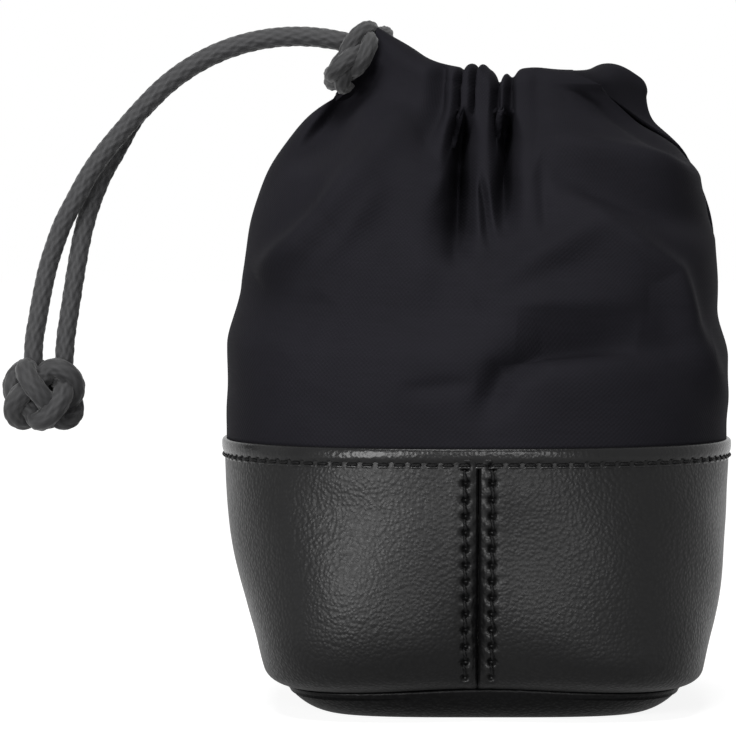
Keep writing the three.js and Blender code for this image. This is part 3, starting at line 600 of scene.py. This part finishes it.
lining_phi = np.linspace(0, 2 * np.pi, LINING_COLUMNS, endpoint=False)
lining_face = []
for z in np.linspace(SEAM_HEIGHT, LINING_TOP, LINING_ROWS):
    step_out = np.clip((z - PADDING_TOP) / (PAD_MARGIN + GAP), 0, 1)
    wave = LINING_WAVE * np.sin(WALL_WAVES * lining_phi + z / WAVE_RISE)
    x, y = cup_outline(lining_phi, z, INSIDE_PADDING + (LINING_AT_RIM - INSIDE_PADDING) * step_out + wave)
    lining_face.append(points_at(x, y, z))
lining_cup = sewn_sheet("lining_cup", lining_face, LINING, closed_across=True)
floor_inset = INSIDE_PADDING + LINING_ROOM + GAP
floor_z = LEATHER + GAP + PADDING + GAP
lining_face = []
for share in np.linspace(0, 1, FLOOR_ROWS):
    half_x = (BASE_WIDTH / 2 - floor_inset) * share
    half_y = (BASE_DEPTH / 2 - floor_inset) * share
    x, y = rounded_square(lining_phi, half_x, half_y, BASE_SQUARENESS)
    wave = LINING_WAVE * np.sin(FLOOR_WAVES * lining_phi) * share
    lining_face.append(points_at(LEAN + x, y, floor_z + wave))
lining_floor = sewn_sheet("lining_floor", lining_face, LINING, closed_across=True, from_centre=True)
for lining, node in ((lining_cup, "lining_wall"), (lining_floor, "lining_base")):
    lining.data.materials.append(lining_finish)
    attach(lining, "pouch")
    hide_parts(node)


# Nylon top: two panels of matt plain-woven nylon, sewn in behind the rim and to each other at the sides,
# up to the slits. Each upper edge is folded over the drawcord and stitched down as a casing,
# and the drawn cord gathers it into pleats.
NYLON, NYLON_FACE, OVERHANG = 0.6, 2.75, 0.3
TUCK_ROWS = (9, 6, 3, 0.6, -0.15)
BODY_START, BODY_PACE = 0.003, 0.9
PANEL_COLUMNS, EVEN_COLUMNS, CROWDED_COLUMNS = 361, 0.55, 0.45
BODY_ROWS, LEG_ROWS, TURN_ROWS = 130, 9, 25
THREAD_WIDTH, SLUB_STRETCH = 0.42, (0.15, 2.2, 1)
SLUB_TONE, DUST_TONE, WEAVE_TONE = 0.4, 0.6, 0.12
# The mouth as the cord holds it: drop-shaped, with a narrow neck at the left. The cord leaves it on an arc.
MOUTH_X, MOUTH_WIDTH, MOUTH_HEIGHT, MOUTH_BELLY = 3, 47, 110, 16.88
LEFT_END, NECK_END, NECK_HALF = 29, 50, 3.05
TIP_START, TIP_ROUND, TIP_STEP = 0.08, 0.5, 0.001
ARC_X, ARC_Z, ARC_RADIUS = -31.9, 83.1, 35.9
RIGHT_DROOP, DROOP_FROM, DROOP_TO = 1.4, 22, 28
FLAP_SINK, FLAP_REACH, FLAP_FROM, FLAP_TO = 4.6, 10, 10, 17
# Each panel between rim and casing: shoulders, a slight waist above the rim, seams with slits above them.
SHOULDER_LEFT, SHOULDER_RIGHT, SHOULDER_FRONT, SHOULDER_TOP = 4.8, 6.8, 2.6, 0.955
WAIST, WAIST_FOOT, WAIST_TOP = 0.12, 0.26, 0.42
HOLD_FROM, LEFT_SINK = 0.8, 1
SLIT_FOOT, SLIT_RAMP, SLANT_STITCHED, SLANT_LEG, LEFT_STITCHED = 0.89, 0.02, 0.42, 0.75, 0.5
FRONT_END, FLAP_END = 55, 58
SEAM_FROM, SIDE_LAP, SIDE_OPEN = 0.97, 0.1, 0.15
# The casing round the cord, from its stitching up the leg, over the cord and down to the hem inside.
CASING_DROP, CASING_FLARE, CASING_LEG, CASING_ROOM, SWELL = 5.1, 3.2, 1.5, 2.2, 1.2
HEM_IN, LOOSE_END = 0.5, 1.6
TURN_EARLY, TURN_OVER = 15, 60
EASE_BELOW, EASE_ABOVE, EASE_PASSES = 10, 8, 10
# The pleats' ends, and ripples all over the cloth: height, width, rise, start.
PLEAT_FLARE, FLARE_ABOVE, FLARE_BELOW = 0.25, 12, 4
PLEAT_ARCH, PLEAT_RAMP, PLEAT_OVER = 0.7, 5, 0.6
PLEAT_TAIL, PLEAT_FULL = 0.2, 0.4
RIPPLES = ((0.1, 2.3, 5, 0), (0.1, 4.1, -3.7, 1), (0.08, 7, 1.9, 0))
FLAT_BELOW, SOFT_ABOVE = RIM_HEIGHT + 1, RIM_HEIGHT + 10

nylon_finish, tree, shader = new_finish("woven_nylon", gloss=0.03)
cut = wire(tree, "ShaderNodeUVMap", uv_map="cut").outputs[0]
thread_way = wire(tree, "ShaderNodeSeparateXYZ", {0: cut}).outputs
warp = math(tree, "SINE", math(tree, "MULTIPLY", thread_way[0], np.pi / THREAD_WIDTH))
weft = math(tree, "SINE", math(tree, "MULTIPLY", thread_way[1], np.pi / THREAD_WIDTH))
weave = math(tree, "MULTIPLY", warp, weft)
slub_place = wire(tree, "ShaderNodeMapping", {"Vector": cut, "Scale": SLUB_STRETCH}).outputs[0]
slub = mottle(tree, slub_place, scale=1.0, detail=3.0)
dust = mottle(tree, on_piece(tree), scale=60.0, detail=4.0)
faded = math(tree, "MULTIPLY_ADD", slub, SLUB_TONE, math(tree, "MULTIPLY", dust, DUST_TONE))
tone = math(tree, "MULTIPLY_ADD", weave, WEAVE_TONE, faded)
colour(tree, shader, tone, (0.0061, 0.0059, 0.0074), (0.0104, 0.01, 0.0127), dark_at=0.2, pale_at=0.8)
surface(tree, shader, ranged(tree, slub, low=0.68, high=0.85), weave, strength=0.25, depth=0.00008)


def from_tip(phi):
    """How far round from the mouth's left tip a direction lies."""
    return np.arccos(np.clip(-np.cos(phi), -1, 1))


def mouth_half(turn):
    drop = MOUTH_BELLY * np.sin(turn) * np.sin(turn / 2)
    neck = NECK_HALF * (1 - smooth(turn, np.radians(NECK_END), np.pi / 2))
    return (drop ** 4 + neck ** 4) ** 0.25


def mouth_outline(phi, outset):
    """The mouth's plan, moved out along its own normal."""
    side = np.where(np.sin(phi) < 0, -1, 1)
    turn = np.clip(from_tip(phi), TIP_START, np.pi - 0.01)
    dx = MOUTH_WIDTH / 2 * np.sin(turn)
    dy = (mouth_half(turn + TIP_STEP) - mouth_half(turn - TIP_STEP)) / (2 * TIP_STEP)
    length = np.hypot(dx, dy)
    tip = 1 - smooth(turn, 0, TIP_ROUND)
    nx = -dy / length * (1 - tip) - tip
    ny = dx / length * (1 - tip)
    size = np.hypot(nx, ny)
    x = MOUTH_X - MOUTH_WIDTH / 2 * np.cos(turn)
    return x + outset * nx / size, side * (mouth_half(turn) + outset * ny / size)


EXIT_X, EXIT_Y = mouth_outline(np.radians(180 - LEFT_END), 0)
EXIT_Z = ARC_Z + np.sqrt(ARC_RADIUS ** 2 - (EXIT_X - ARC_X) ** 2)


def cord_height(phi):
    x = mouth_outline(phi, 0)[0]
    rise = (EXIT_Z - MOUTH_HEIGHT) * np.maximum(0, (MOUTH_X - x) / (MOUTH_X - EXIT_X)) ** 2
    return MOUTH_HEIGHT + rise - RIGHT_DROOP * smooth(x, DROOP_FROM, DROOP_TO)


def flap_sink(x, y):
    """How far the mouth's right end is pressed in, where the back casing passes under the front one."""
    return FLAP_SINK * smooth(-y, 0, FLAP_REACH) * smooth(x, FLAP_FROM, FLAP_TO)


def crease_at(x, z, line):
    """How far each point is from a crease in the front view, and how much of the crease is left there."""
    nearest = np.full(x.shape, np.inf)
    along = np.zeros(x.shape)
    for n, ((x0, z0), (x1, z1)) in enumerate(zip(line, line[1:])):
        run = (x1 - x0) ** 2 + (z1 - z0) ** 2
        share = np.clip(((x - x0) * (x1 - x0) + (z - z0) * (z1 - z0)) / run, 0, 1)
        far = np.hypot(x - x0 - share * (x1 - x0), z - z0 - share * (z1 - z0))
        along = np.where(far < nearest, (n + share) / (len(line) - 1), along)
        nearest = np.minimum(nearest, far)
    return nearest, 1 - (2 * along - 1) ** 2


def nylon_panel(name, side, end, tucks, crowns, valleys, folds):
    """One panel: tucks and crowns shape its casing, valleys are its pleats and folds its soft creases."""
    v = np.linspace(-1, 1, PANEL_COLUMNS)
    share = 0.5 + 0.5 * (EVEN_COLUMNS * v + CROWDED_COLUMNS * v ** 3)
    start = np.pi if side < 0 else 0.0

    def directions(left, right):
        first, last = np.radians((LEFT_END * left, right) if side < 0 else (right, LEFT_END * left))
        return start + np.pi * share + first * smooth(1 - share, 0.5, 1) - last * smooth(share, 0.5, 1)

    def past_neck(phi):
        return smooth(from_tip(phi), np.radians(LEFT_END), np.radians(NECK_END))

    def off_cord(phi, hold):
        x = mouth_outline(phi, 0)[0]
        press = sum(depth * bump_at(x - at, width) for at, width, depth in tucks)
        return SWELL * past_neck(phi) - hold * press

    def casing(across, up, spread, right, left=1):
        phi = directions(left, right)
        at = mouth_outline(phi, 0)[0]
        x, y = mouth_outline(phi, across + spread * off_cord(phi, 1))
        crown = sum(height * bump_at(at - middle, width) for middle, width, height in crowns)
        lift = (LOOSE_END * (1 - past_neck(phi)) + crown) * smooth(up, -CASING_LEG, CASING_ROOM)
        return points_at(x, y, cord_height(phi) + up + lift)

    def body(rise):
        slit = max(0, (rise - SLIT_FOOT) / (1 - SLIT_FOOT))
        phi = directions(LEFT_STITCHED * slit, end * SLANT_STITCHED * slit)
        foot_x, foot_y = cup_outline(phi, RIM_HEIGHT, OVERHANG)
        top_x, top_y = mouth_outline(phi, CASING_FLARE + NYLON + off_cord(phi, smooth(rise, HOLD_FROM, 1)))
        top_y = top_y * smooth(from_tip(phi), 0, np.radians(LEFT_END))
        sides = SHOULDER_LEFT + (SHOULDER_RIGHT - SHOULDER_LEFT) * (1 + np.cos(phi)) / 2
        shoulder = SHOULDER_FRONT + (sides - SHOULDER_FRONT) * np.cos(phi) ** 2
        leftness = np.maximum(0, -np.cos(phi)) ** 4
        climb = np.minimum(1, rise / (1 - (1 - SHOULDER_TOP) * leftness))
        narrow = (1 - WAIST) * climb ** shoulder + WAIST * smooth(rise, WAIST_FOOT, WAIST_TOP)
        x = foot_x + (top_x - foot_x) * narrow
        y = foot_y + (top_y - foot_y) * narrow
        z = RIM_HEIGHT + (cord_height(phi) - CASING_DROP - RIM_HEIGHT) * rise
        return points_at(x, y, z - LEFT_SINK * leftness ** 4 * smooth(rise, HOLD_FROM, 1))

    rows = []
    for below in TUCK_ROWS:
        x, y = cup_outline(directions(0, 0), RIM_HEIGHT - max(below, 0), NYLON_FACE)
        rows.append(points_at(x, y, RIM_HEIGHT - below))
    body_first = len(rows)
    rises = np.linspace(BODY_START, 1, BODY_ROWS) ** BODY_PACE
    for rise in rises:
        rows.append(body(rise))
    stitched = len(rows)
    for lift in np.linspace(0, 1, LEG_ROWS)[1:]:
        across = CASING_FLARE + (CASING_ROOM - CASING_FLARE) * lift + NYLON
        up = (CASING_DROP - CASING_LEG) * lift - CASING_DROP
        slant = SLANT_STITCHED + (SLANT_LEG - SLANT_STITCHED) * lift
        rows.append(casing(across, up, 1, end * slant, LEFT_STITCHED + (1 - LEFT_STITCHED) * lift))
    body_last = len(rows)
    radius = CASING_ROOM + NYLON
    for degrees in np.linspace(0, 180, TURN_ROWS):
        turn = np.radians(degrees)
        over = min(1, (degrees + TURN_EARLY) / TURN_OVER)
        right = end * SLANT_LEG * (1 - over) + end * over
        rows.append(casing(radius * np.cos(turn), radius * np.sin(turn), np.cos(turn), right))
    for drop in np.linspace(0, 1, LEG_ROWS)[1:]:
        across = -CASING_ROOM - NYLON + (CASING_FLARE + CASING_ROOM - HEM_IN) * drop
        up = -CASING_LEG - (CASING_DROP - CASING_LEG) * drop
        rows.append(casing(across, up, 2 * drop - 1, end))
    face = np.array(rows)

    sewn = np.zeros(len(face))
    sewn[:body_first] = 1
    sewn[body_first:stitched] = 1 - smooth(rises, SLIT_FOOT - SLIT_RAMP, SLIT_FOOT)
    seam = sewn[:, None] * smooth(np.abs(v), SEAM_FROM, 1)
    face[..., 1] = face[..., 1] * (1 - seam) + side * (SIDE_OPEN * (1 - seam) - SIDE_LAP * seam)
    first, last = stitched - EASE_BELOW, stitched + EASE_ABOVE
    for _ in range(EASE_PASSES):
        around_row = face[first - 1:last - 1] + face[first + 1:last + 1]
        face[first:last] = face[first:last] / 2 + around_row / 4
    if side > 0:
        face[..., 1] += flap_sink(face[..., 0], face[..., 1])

    pleated = face[body_first:]
    x, z = pleated[..., 0], pleated[..., 2]
    for line, width, depth, steep in valleys:
        top, foot = line[0][1], line[-1][1]
        spread = width * (1 + PLEAT_FLARE * smooth(-z, -foot - FLARE_ABOVE, -foot + FLARE_BELOW))
        push = np.exp(-((crease_at(x, z, line)[0] / spread) ** steep))
        arched = z + PLEAT_ARCH * np.abs(x - line[0][0])
        fade = 1 - smooth(arched, top - PLEAT_RAMP, top + PLEAT_OVER)
        fade = fade * smooth(z, foot - PLEAT_TAIL * (top - foot), foot + PLEAT_FULL * (top - foot))
        pleated[..., 1] -= side * depth * push * fade

    upper = face[body_first:body_last]
    x, z = upper[..., 0], upper[..., 2]
    out = sum(height * np.sin(x / wide + z / tall + begin) for height, wide, tall, begin in RIPPLES)
    for line, width, height in folds:
        far, left_of_it = crease_at(x, z, line)
        out = out + height * left_of_it * bump_at(far, width)
    normal = normals_of(face, False)[body_first:body_last]
    face[body_first:body_last] = upper + normal * (out * smooth(z, FLAT_BELOW, SOFT_ABOVE))[..., None]
    return sewn_sheet(name, face, NYLON)


# Tucks: x, width, depth. Crowns: x, width, height. Valleys: line, width, depth, steepness.
# Folds: line, width, height. A line's points are x and z, as seen from the front.
FRONT_TUCKS = (
    (-5.6, 1.3, 3.6), (-2.3, 0.5, 4), (0.15, 0.4, 2.6), (3.85, 0.5, 3.6), (6.1, 0.6, 3.2), (10.5, 1.2, 0.6),
)
FRONT_CROWNS = (
    (-2.3, 0.5, -1), (-13, 3, 1.1), (-0.9, 1, 0.9), (0.15, 0.35, -0.8),
    (1, 0.8, 0.9), (3.85, 0.9, -2.2), (6.1, 0.9, -1.4), (10, 3, 0.4),
)
FRONT_VALLEYS = (
    (((-2.4, 106), (-3, 98.6), (-3.8, 80.5)), 1.65, 15, 2),
    (((-3.6, 96), (-5.2, 81)), 3, 4.5, 2),
    (((4.9, 106), (4.7, 96.8), (4.2, 85)), 1.55, 14, 2),
    (((0.2, 95), (0.8, 90), (1.6, 82)), 0.9, 3.5, 2),
    (((-18.6, 115), (-25.2, 103.3), (-29.8, 96.5)), 2.6, 9, 3),
)
FRONT_FOLDS = (
    (((-11, 104), (-31, 82), (-39, 76)), 2.6, 3),
    (((-8, 98), (-26, 86)), 4.5, 2.4),
    (((-10, 100), (-22, 76), (-28, 58)), 3.6, -1.2),
    (((-26, 73), (-34, 64)), 3.6, -1.2),
    (((23, 87.5), (-2, 73)), 2.8, 2.2),
    (((-1, 70), (12, 72.5), (29, 73)), 3.6, 2.4),
    (((-1, 50), (4, 61), (11, 65), (28, 67)), 2.8, -4),
    (((6, 67.5), (40, 64)), 3.4, -3),
    (((13, 94), (33, 77.5), (36, 68), (45, 50)), 2.4, 3),
    (((10, 96.5), (43, 85)), 3.4, -4),
    (((10, 101), (41, 94)), 2.2, 2.6),
    (((-4.6, 80.5), (3.4, 81.4)), 2, 0.8),
    (((-0.9, 58.7), (-7, 58.2), (-14.5, 57.2)), 1.6, -0.9),
    (((10.5, 97.7), (11.4, 83)), 1.2, -0.8),
    (((-11, 106), (-27, 91)), 2.6, 1.2),
    (((-16, 92), (-30, 76)), 1.4, 0.7),
    (((-9, 84), (-12, 70)), 3, 0.7),
    (((10, 116.5), (40, 94.5)), 2, -2.2),
)
BACK_TUCKS = (
    (-6.5, 0.7, 1.5), (-1, 0.5, 0.8), (1.5, 0.6, 1.5), (7, 0.6, 1.4), (10, 0.4, 0.8), (14, 0.7, 1.3),
)
BACK_CROWNS = ((-3.5, 1.5, 0.5), (5, 4, -1.8), (11.5, 2, 0.4), (24, 3, 1.6))
BACK_VALLEYS = (
    (((-6.5, 106), (-7.5, 90)), 1.5, 4.5, 3),
    (((1, 106), (0.5, 86)), 1.6, 6, 3),
    (((7, 106), (8.5, 91)), 1.5, 5, 3),
    (((14, 105), (17, 90)), 1.7, 4, 2),
)
BACK_FOLDS = (
    (((-18, 102), (-30, 86)), 3, 1),
    (((-24, 104), (-36, 84)), 3.5, -1.1),
    (((-30, 70), (-12, 62)), 3.5, 0.9),
    (((-8, 68), (8, 62), (24, 65)), 3.5, -1.2),
    (((20, 98), (32, 80), (38, 64)), 3, 1.1),
    (((26, 100), (37, 82)), 3.5, -1),
)
nylon_front = nylon_panel(
    "nylon_front", -1, FRONT_END, FRONT_TUCKS, FRONT_CROWNS, FRONT_VALLEYS, FRONT_FOLDS
)
nylon_back = nylon_panel("nylon_back", 1, -FLAP_END, BACK_TUCKS, BACK_CROWNS, BACK_VALLEYS, BACK_FOLDS)
for nylon, node in ((nylon_front, "upper_front"), (nylon_back, "upper_back")):
    nylon.data.materials.append(nylon_finish)
    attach(nylon, "pouch")
    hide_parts(node)


# Drawcord: one round polyester cord, braided from eight carriers each way. It runs round the mouth
# inside the casings, from the left end of one to the left end of the other.
CORD, CORD_STEP = 3.5, 0.33
CARRIERS, CARRIER_SIDES, CARRIER_PITCH, BRAID_DEPTH = 8, 6, 3.3, 0.24
CARRIER_CURVE, CARRIER_MEAN, CARRIER_OVER = 0.6, 0.6, 0.4
FIRST_SIDE = (0.3, 1, 0.2)
PLEAT_SINK, PLEAT_MIDDLE, PLEAT_REACH, LOOP_POINTS = 2.8, 1, 8.5, 60
WORN_TONE, YARN_TONE, TONE_LEVEL = 0.35, 0.3, 0.72

cord_finish, tree, shader = new_finish("braided_polyester", gloss=0.3, sheen=0.15)
# Painted shade: the braid's crevices, where the carriers lie low, are painted darker from the cord's lay.
lay_and_painted_shade = wire(tree, "ShaderNodeAttribute", attribute_name="lay_and_painted_shade").outputs["Fac"]
place = on_piece(tree)
yarn = mottle(tree, place, scale=2600.0, detail=2.0)
worn = mottle(tree, place, scale=90.0, detail=3.0)
tone = math(tree, "MULTIPLY_ADD", worn, WORN_TONE, math(tree, "MULTIPLY_ADD", yarn, YARN_TONE, lay_and_painted_shade))
tone = math(tree, "MULTIPLY", tone, TONE_LEVEL)
colour(tree, shader, tone, (0.006, 0.006, 0.0065), (0.027, 0.027, 0.0286), dark_at=0.25, pale_at=0.95)
surface(tree, shader, ranged(tree, yarn, low=0.55, high=0.8), yarn, strength=0.35, depth=0.0001)


def braided_cord(name, route, diameter, closed=False):
    """A round cord whose surface is plaited from carriers that run both ways and go over and under."""
    ahead = np.roll(route, -1, 0) - np.roll(route, 1, 0) if closed else np.gradient(route, axis=0)
    ahead = unit(ahead)
    across = np.empty_like(route)
    across[0] = unit(np.cross(ahead[0], FIRST_SIDE))
    for n in range(1, len(route)):
        across[n] = unit(across[n - 1] - ahead[n] * across[n - 1].dot(ahead[n]))
    other = np.cross(ahead, across)
    along = np.concatenate([[0], np.cumsum(np.linalg.norm(np.diff(route, axis=0), axis=1))])
    spin = np.zeros(len(route))
    cells = along / CARRIER_PITCH
    if closed:
        carried = unit(across[-1] - ahead[0] * across[-1].dot(ahead[0]))
        twist = np.arctan2(carried.dot(other[0]), carried.dot(across[0]))
        spin = -twist * np.arange(len(route)) / len(route)
        whole = along[-1] + np.linalg.norm(route[0] - route[-1])
        cells = along / whole * 2 * round(whole / CARRIER_PITCH / 2)
    sides = CARRIERS * CARRIER_SIDES
    around = 2 * np.pi * np.arange(sides) / sides
    turns = CARRIERS * around[None, :] / (2 * np.pi)
    left_wave = np.sin(np.pi * (turns + cells[:, None]))
    right_wave = np.sin(np.pi * (turns - cells[:, None]))
    over = CARRIER_OVER * (left_wave * right_wave)
    left_lay = (left_wave ** 2) ** CARRIER_CURVE * (CARRIER_MEAN + over)
    right_lay = (right_wave ** 2) ** CARRIER_CURVE * (CARRIER_MEAN - over)
    lay_and_painted_shade = np.maximum(left_lay, right_lay)
    radius = diameter / 2 - BRAID_DEPTH * (1 - lay_and_painted_shade)
    angle = around[None, :] + spin[:, None]
    ring = np.cos(angle)[..., None] * across[:, None] + np.sin(angle)[..., None] * other[:, None]
    points = route[:, None] + radius[..., None] * ring
    made = grid_object(name, points, True, closed, around / (2 * np.pi), along)
    # The carriers' lay is kept on the cord, and the cord finish paints the crevices darker from it: painted
    # shade.
    painted_shade_layer = made.data.attributes.new("lay_and_painted_shade", "FLOAT", "POINT")
    painted_shade_layer.data.foreach_set("value", lay_and_painted_shade.ravel().astype(np.float32))
    return made


loop_phi = np.radians(np.linspace(-180 + LEFT_END, 180 - LEFT_END, LOOP_POINTS))
loop_sink = PLEAT_SINK * bump_at(mouth_outline(loop_phi, 0)[0] - PLEAT_MIDDLE, PLEAT_REACH)
loop_x, loop_y = mouth_outline(loop_phi, -loop_sink)
loop_y = loop_y + flap_sink(loop_x, loop_y)
loop_z = cord_height(loop_phi) - loop_sink
cord_loop = braided_cord("cord_loop", even_route(points_at(loop_x, loop_y, loop_z), CORD_STEP), CORD)
cord_loop.data.materials.append(cord_finish)
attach(cord_loop, "pouch")
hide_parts("drawcord_loop")


# Free strands: the two ends of the drawcord, of the same braid. They leave the casings at the left,
# follow one arc side by side and fall to the end knot.
STRAND_Y = 2.3
ARC_DEGREES = range(72, 139, 6)
# Below the arc: x, how far apart the strands are as a share of STRAND_Y, z.
FRONT_TAIL = (
    (-61.7, 1, 103.7), (-66, 0.97, 98.6), (-69, 0.9, 94.3), (-71.6, 0.76, 89.6),
    (-73.5, 0.53, 86), (-74.9, 0.26, 82.5), (-76.4, 0, 77.9), (-77.5, 0, 72.9),
    (-78.3, 0, 68.4), (-78.9, 0, 64.8), (-79.1, 0, 60),
)
BACK_TAIL = (
    (-61.1, 1, 104.3), (-64.3, 0.97, 98.6), (-66.7, 0.9, 94.3), (-68.6, 0.76, 89.6),
    (-69.7, 0.53, 86), (-70.5, 0.26, 82.5), (-71.3, 0, 77.9), (-72.1, 0, 72.9),
    (-72.8, 0, 68.4), (-73.3, 0, 64.8), (-73.6, 0, 60),
)


def arc_point(degrees, out, y):
    turn = np.radians(degrees)
    return (ARC_X + (ARC_RADIUS + out) * np.cos(turn), y, ARC_Z + (ARC_RADIUS + out) * np.sin(turn))


for strand, side, tail in (("front", -1, FRONT_TAIL), ("back", 1, BACK_TAIL)):
    strand_points = [(EXIT_X, side * EXIT_Y, EXIT_Z)]
    strand_points += [arc_point(degrees, 0, side * STRAND_Y) for degrees in ARC_DEGREES]
    strand_points += [(x, side * STRAND_Y * apart, z) for x, apart, z in tail]
    route = even_route(strand_points, CORD_STEP)
    piece = braided_cord("cord_" + strand, route, CORD)
    piece.data.materials.append(cord_finish)
    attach(piece, "pouch")
    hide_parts("strand_" + strand)


# Sliding knot: a short length of the same cord plaited round both strands as a tight ring.
# It grips the strands and is pushed along them to close the mouth.
KNOT_LEADS, KNOT_BIGHTS, KNOT_POINTS = 3, 4, 360
SLIDER_AT, SLIDER_HALF, SLIDER_OUT, SLIDER_WEAVE, SLIDER_CORD = 72.5, 1.9, 4.7, 1.1, 3.1
SLIDER_SAG, SLIDER_TILT, SLIDER_TURN = 2, 0.36, 0.5

# A darker copy of the same cord's finish for the two knots: painted shade for the shade in their tight
# plaits.
knot_finish_painted_shade = cord_finish.copy()
knot_finish_painted_shade.name = "knotted_cord_painted_shade"
knot_ramp_painted_shade = next(step for step in knot_finish_painted_shade.node_tree.nodes if step.type == "VALTORGB")
knot_ramp_painted_shade.color_ramp.elements[0].color = (0.004, 0.004, 0.0044, 1)
knot_ramp_painted_shade.color_ramp.elements[1].color = (0.0195, 0.0195, 0.0207, 1)


def plaited_knot(place):
    """A closed route of three leads and four bights, with each pass put in its place on the knot."""
    share = np.linspace(0, 1, KNOT_POINTS, endpoint=False)
    wave = 2 * np.pi * KNOT_BIGHTS * share
    passes = points_at(*place(2 * np.pi * KNOT_LEADS * share, np.cos(wave), np.sin(2 * wave)))
    return even_route(passes, CORD_STEP, closed=True)


def round_strands(around, along, over):
    around = around + SLIDER_TURN
    out = SLIDER_OUT + SLIDER_WEAVE * over
    lean = SLIDER_TILT * out * np.cos(around)
    degrees = SLIDER_AT + np.degrees((SLIDER_HALF * along - lean) / ARC_RADIUS)
    y = STRAND_Y * np.sin(np.pi / 2 * np.sin(around)) + out * np.sin(around)
    return arc_point(degrees, out * np.cos(around) - SLIDER_SAG, y)


sliding_knot = braided_cord("sliding_knot", plaited_knot(round_strands), SLIDER_CORD, closed=True)
sliding_knot.data.materials.append(knot_finish_painted_shade)
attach(sliding_knot, "slider")
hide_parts("slider_knot")


# End knot: the two strands plaited into a ball, a lanyard knot, of the same cord.
# It joins the strands' ends and keeps the sliding knot on.
END_X, END_Z, END_RADIUS, END_WEAVE, END_REACH, END_CORD = -77.2, 55.3, 4.9, 1.2, 58, 3.9
END_BROAD, END_TURN = 1.08, 0.35


def round_ball(around, along, over):
    around = around + END_TURN
    far = END_RADIUS + END_WEAVE * over
    latitude = np.radians(END_REACH) * along
    level = far * np.cos(latitude)
    x = END_X + END_BROAD * level * np.cos(around)
    return x, level * np.sin(around), END_Z + far * np.sin(latitude)


lanyard_knot = braided_cord("lanyard_knot", plaited_knot(round_ball), END_CORD, closed=True)
lanyard_knot.data.materials.append(knot_finish_painted_shade)
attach(lanyard_knot, "pouch")
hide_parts("end_knot")
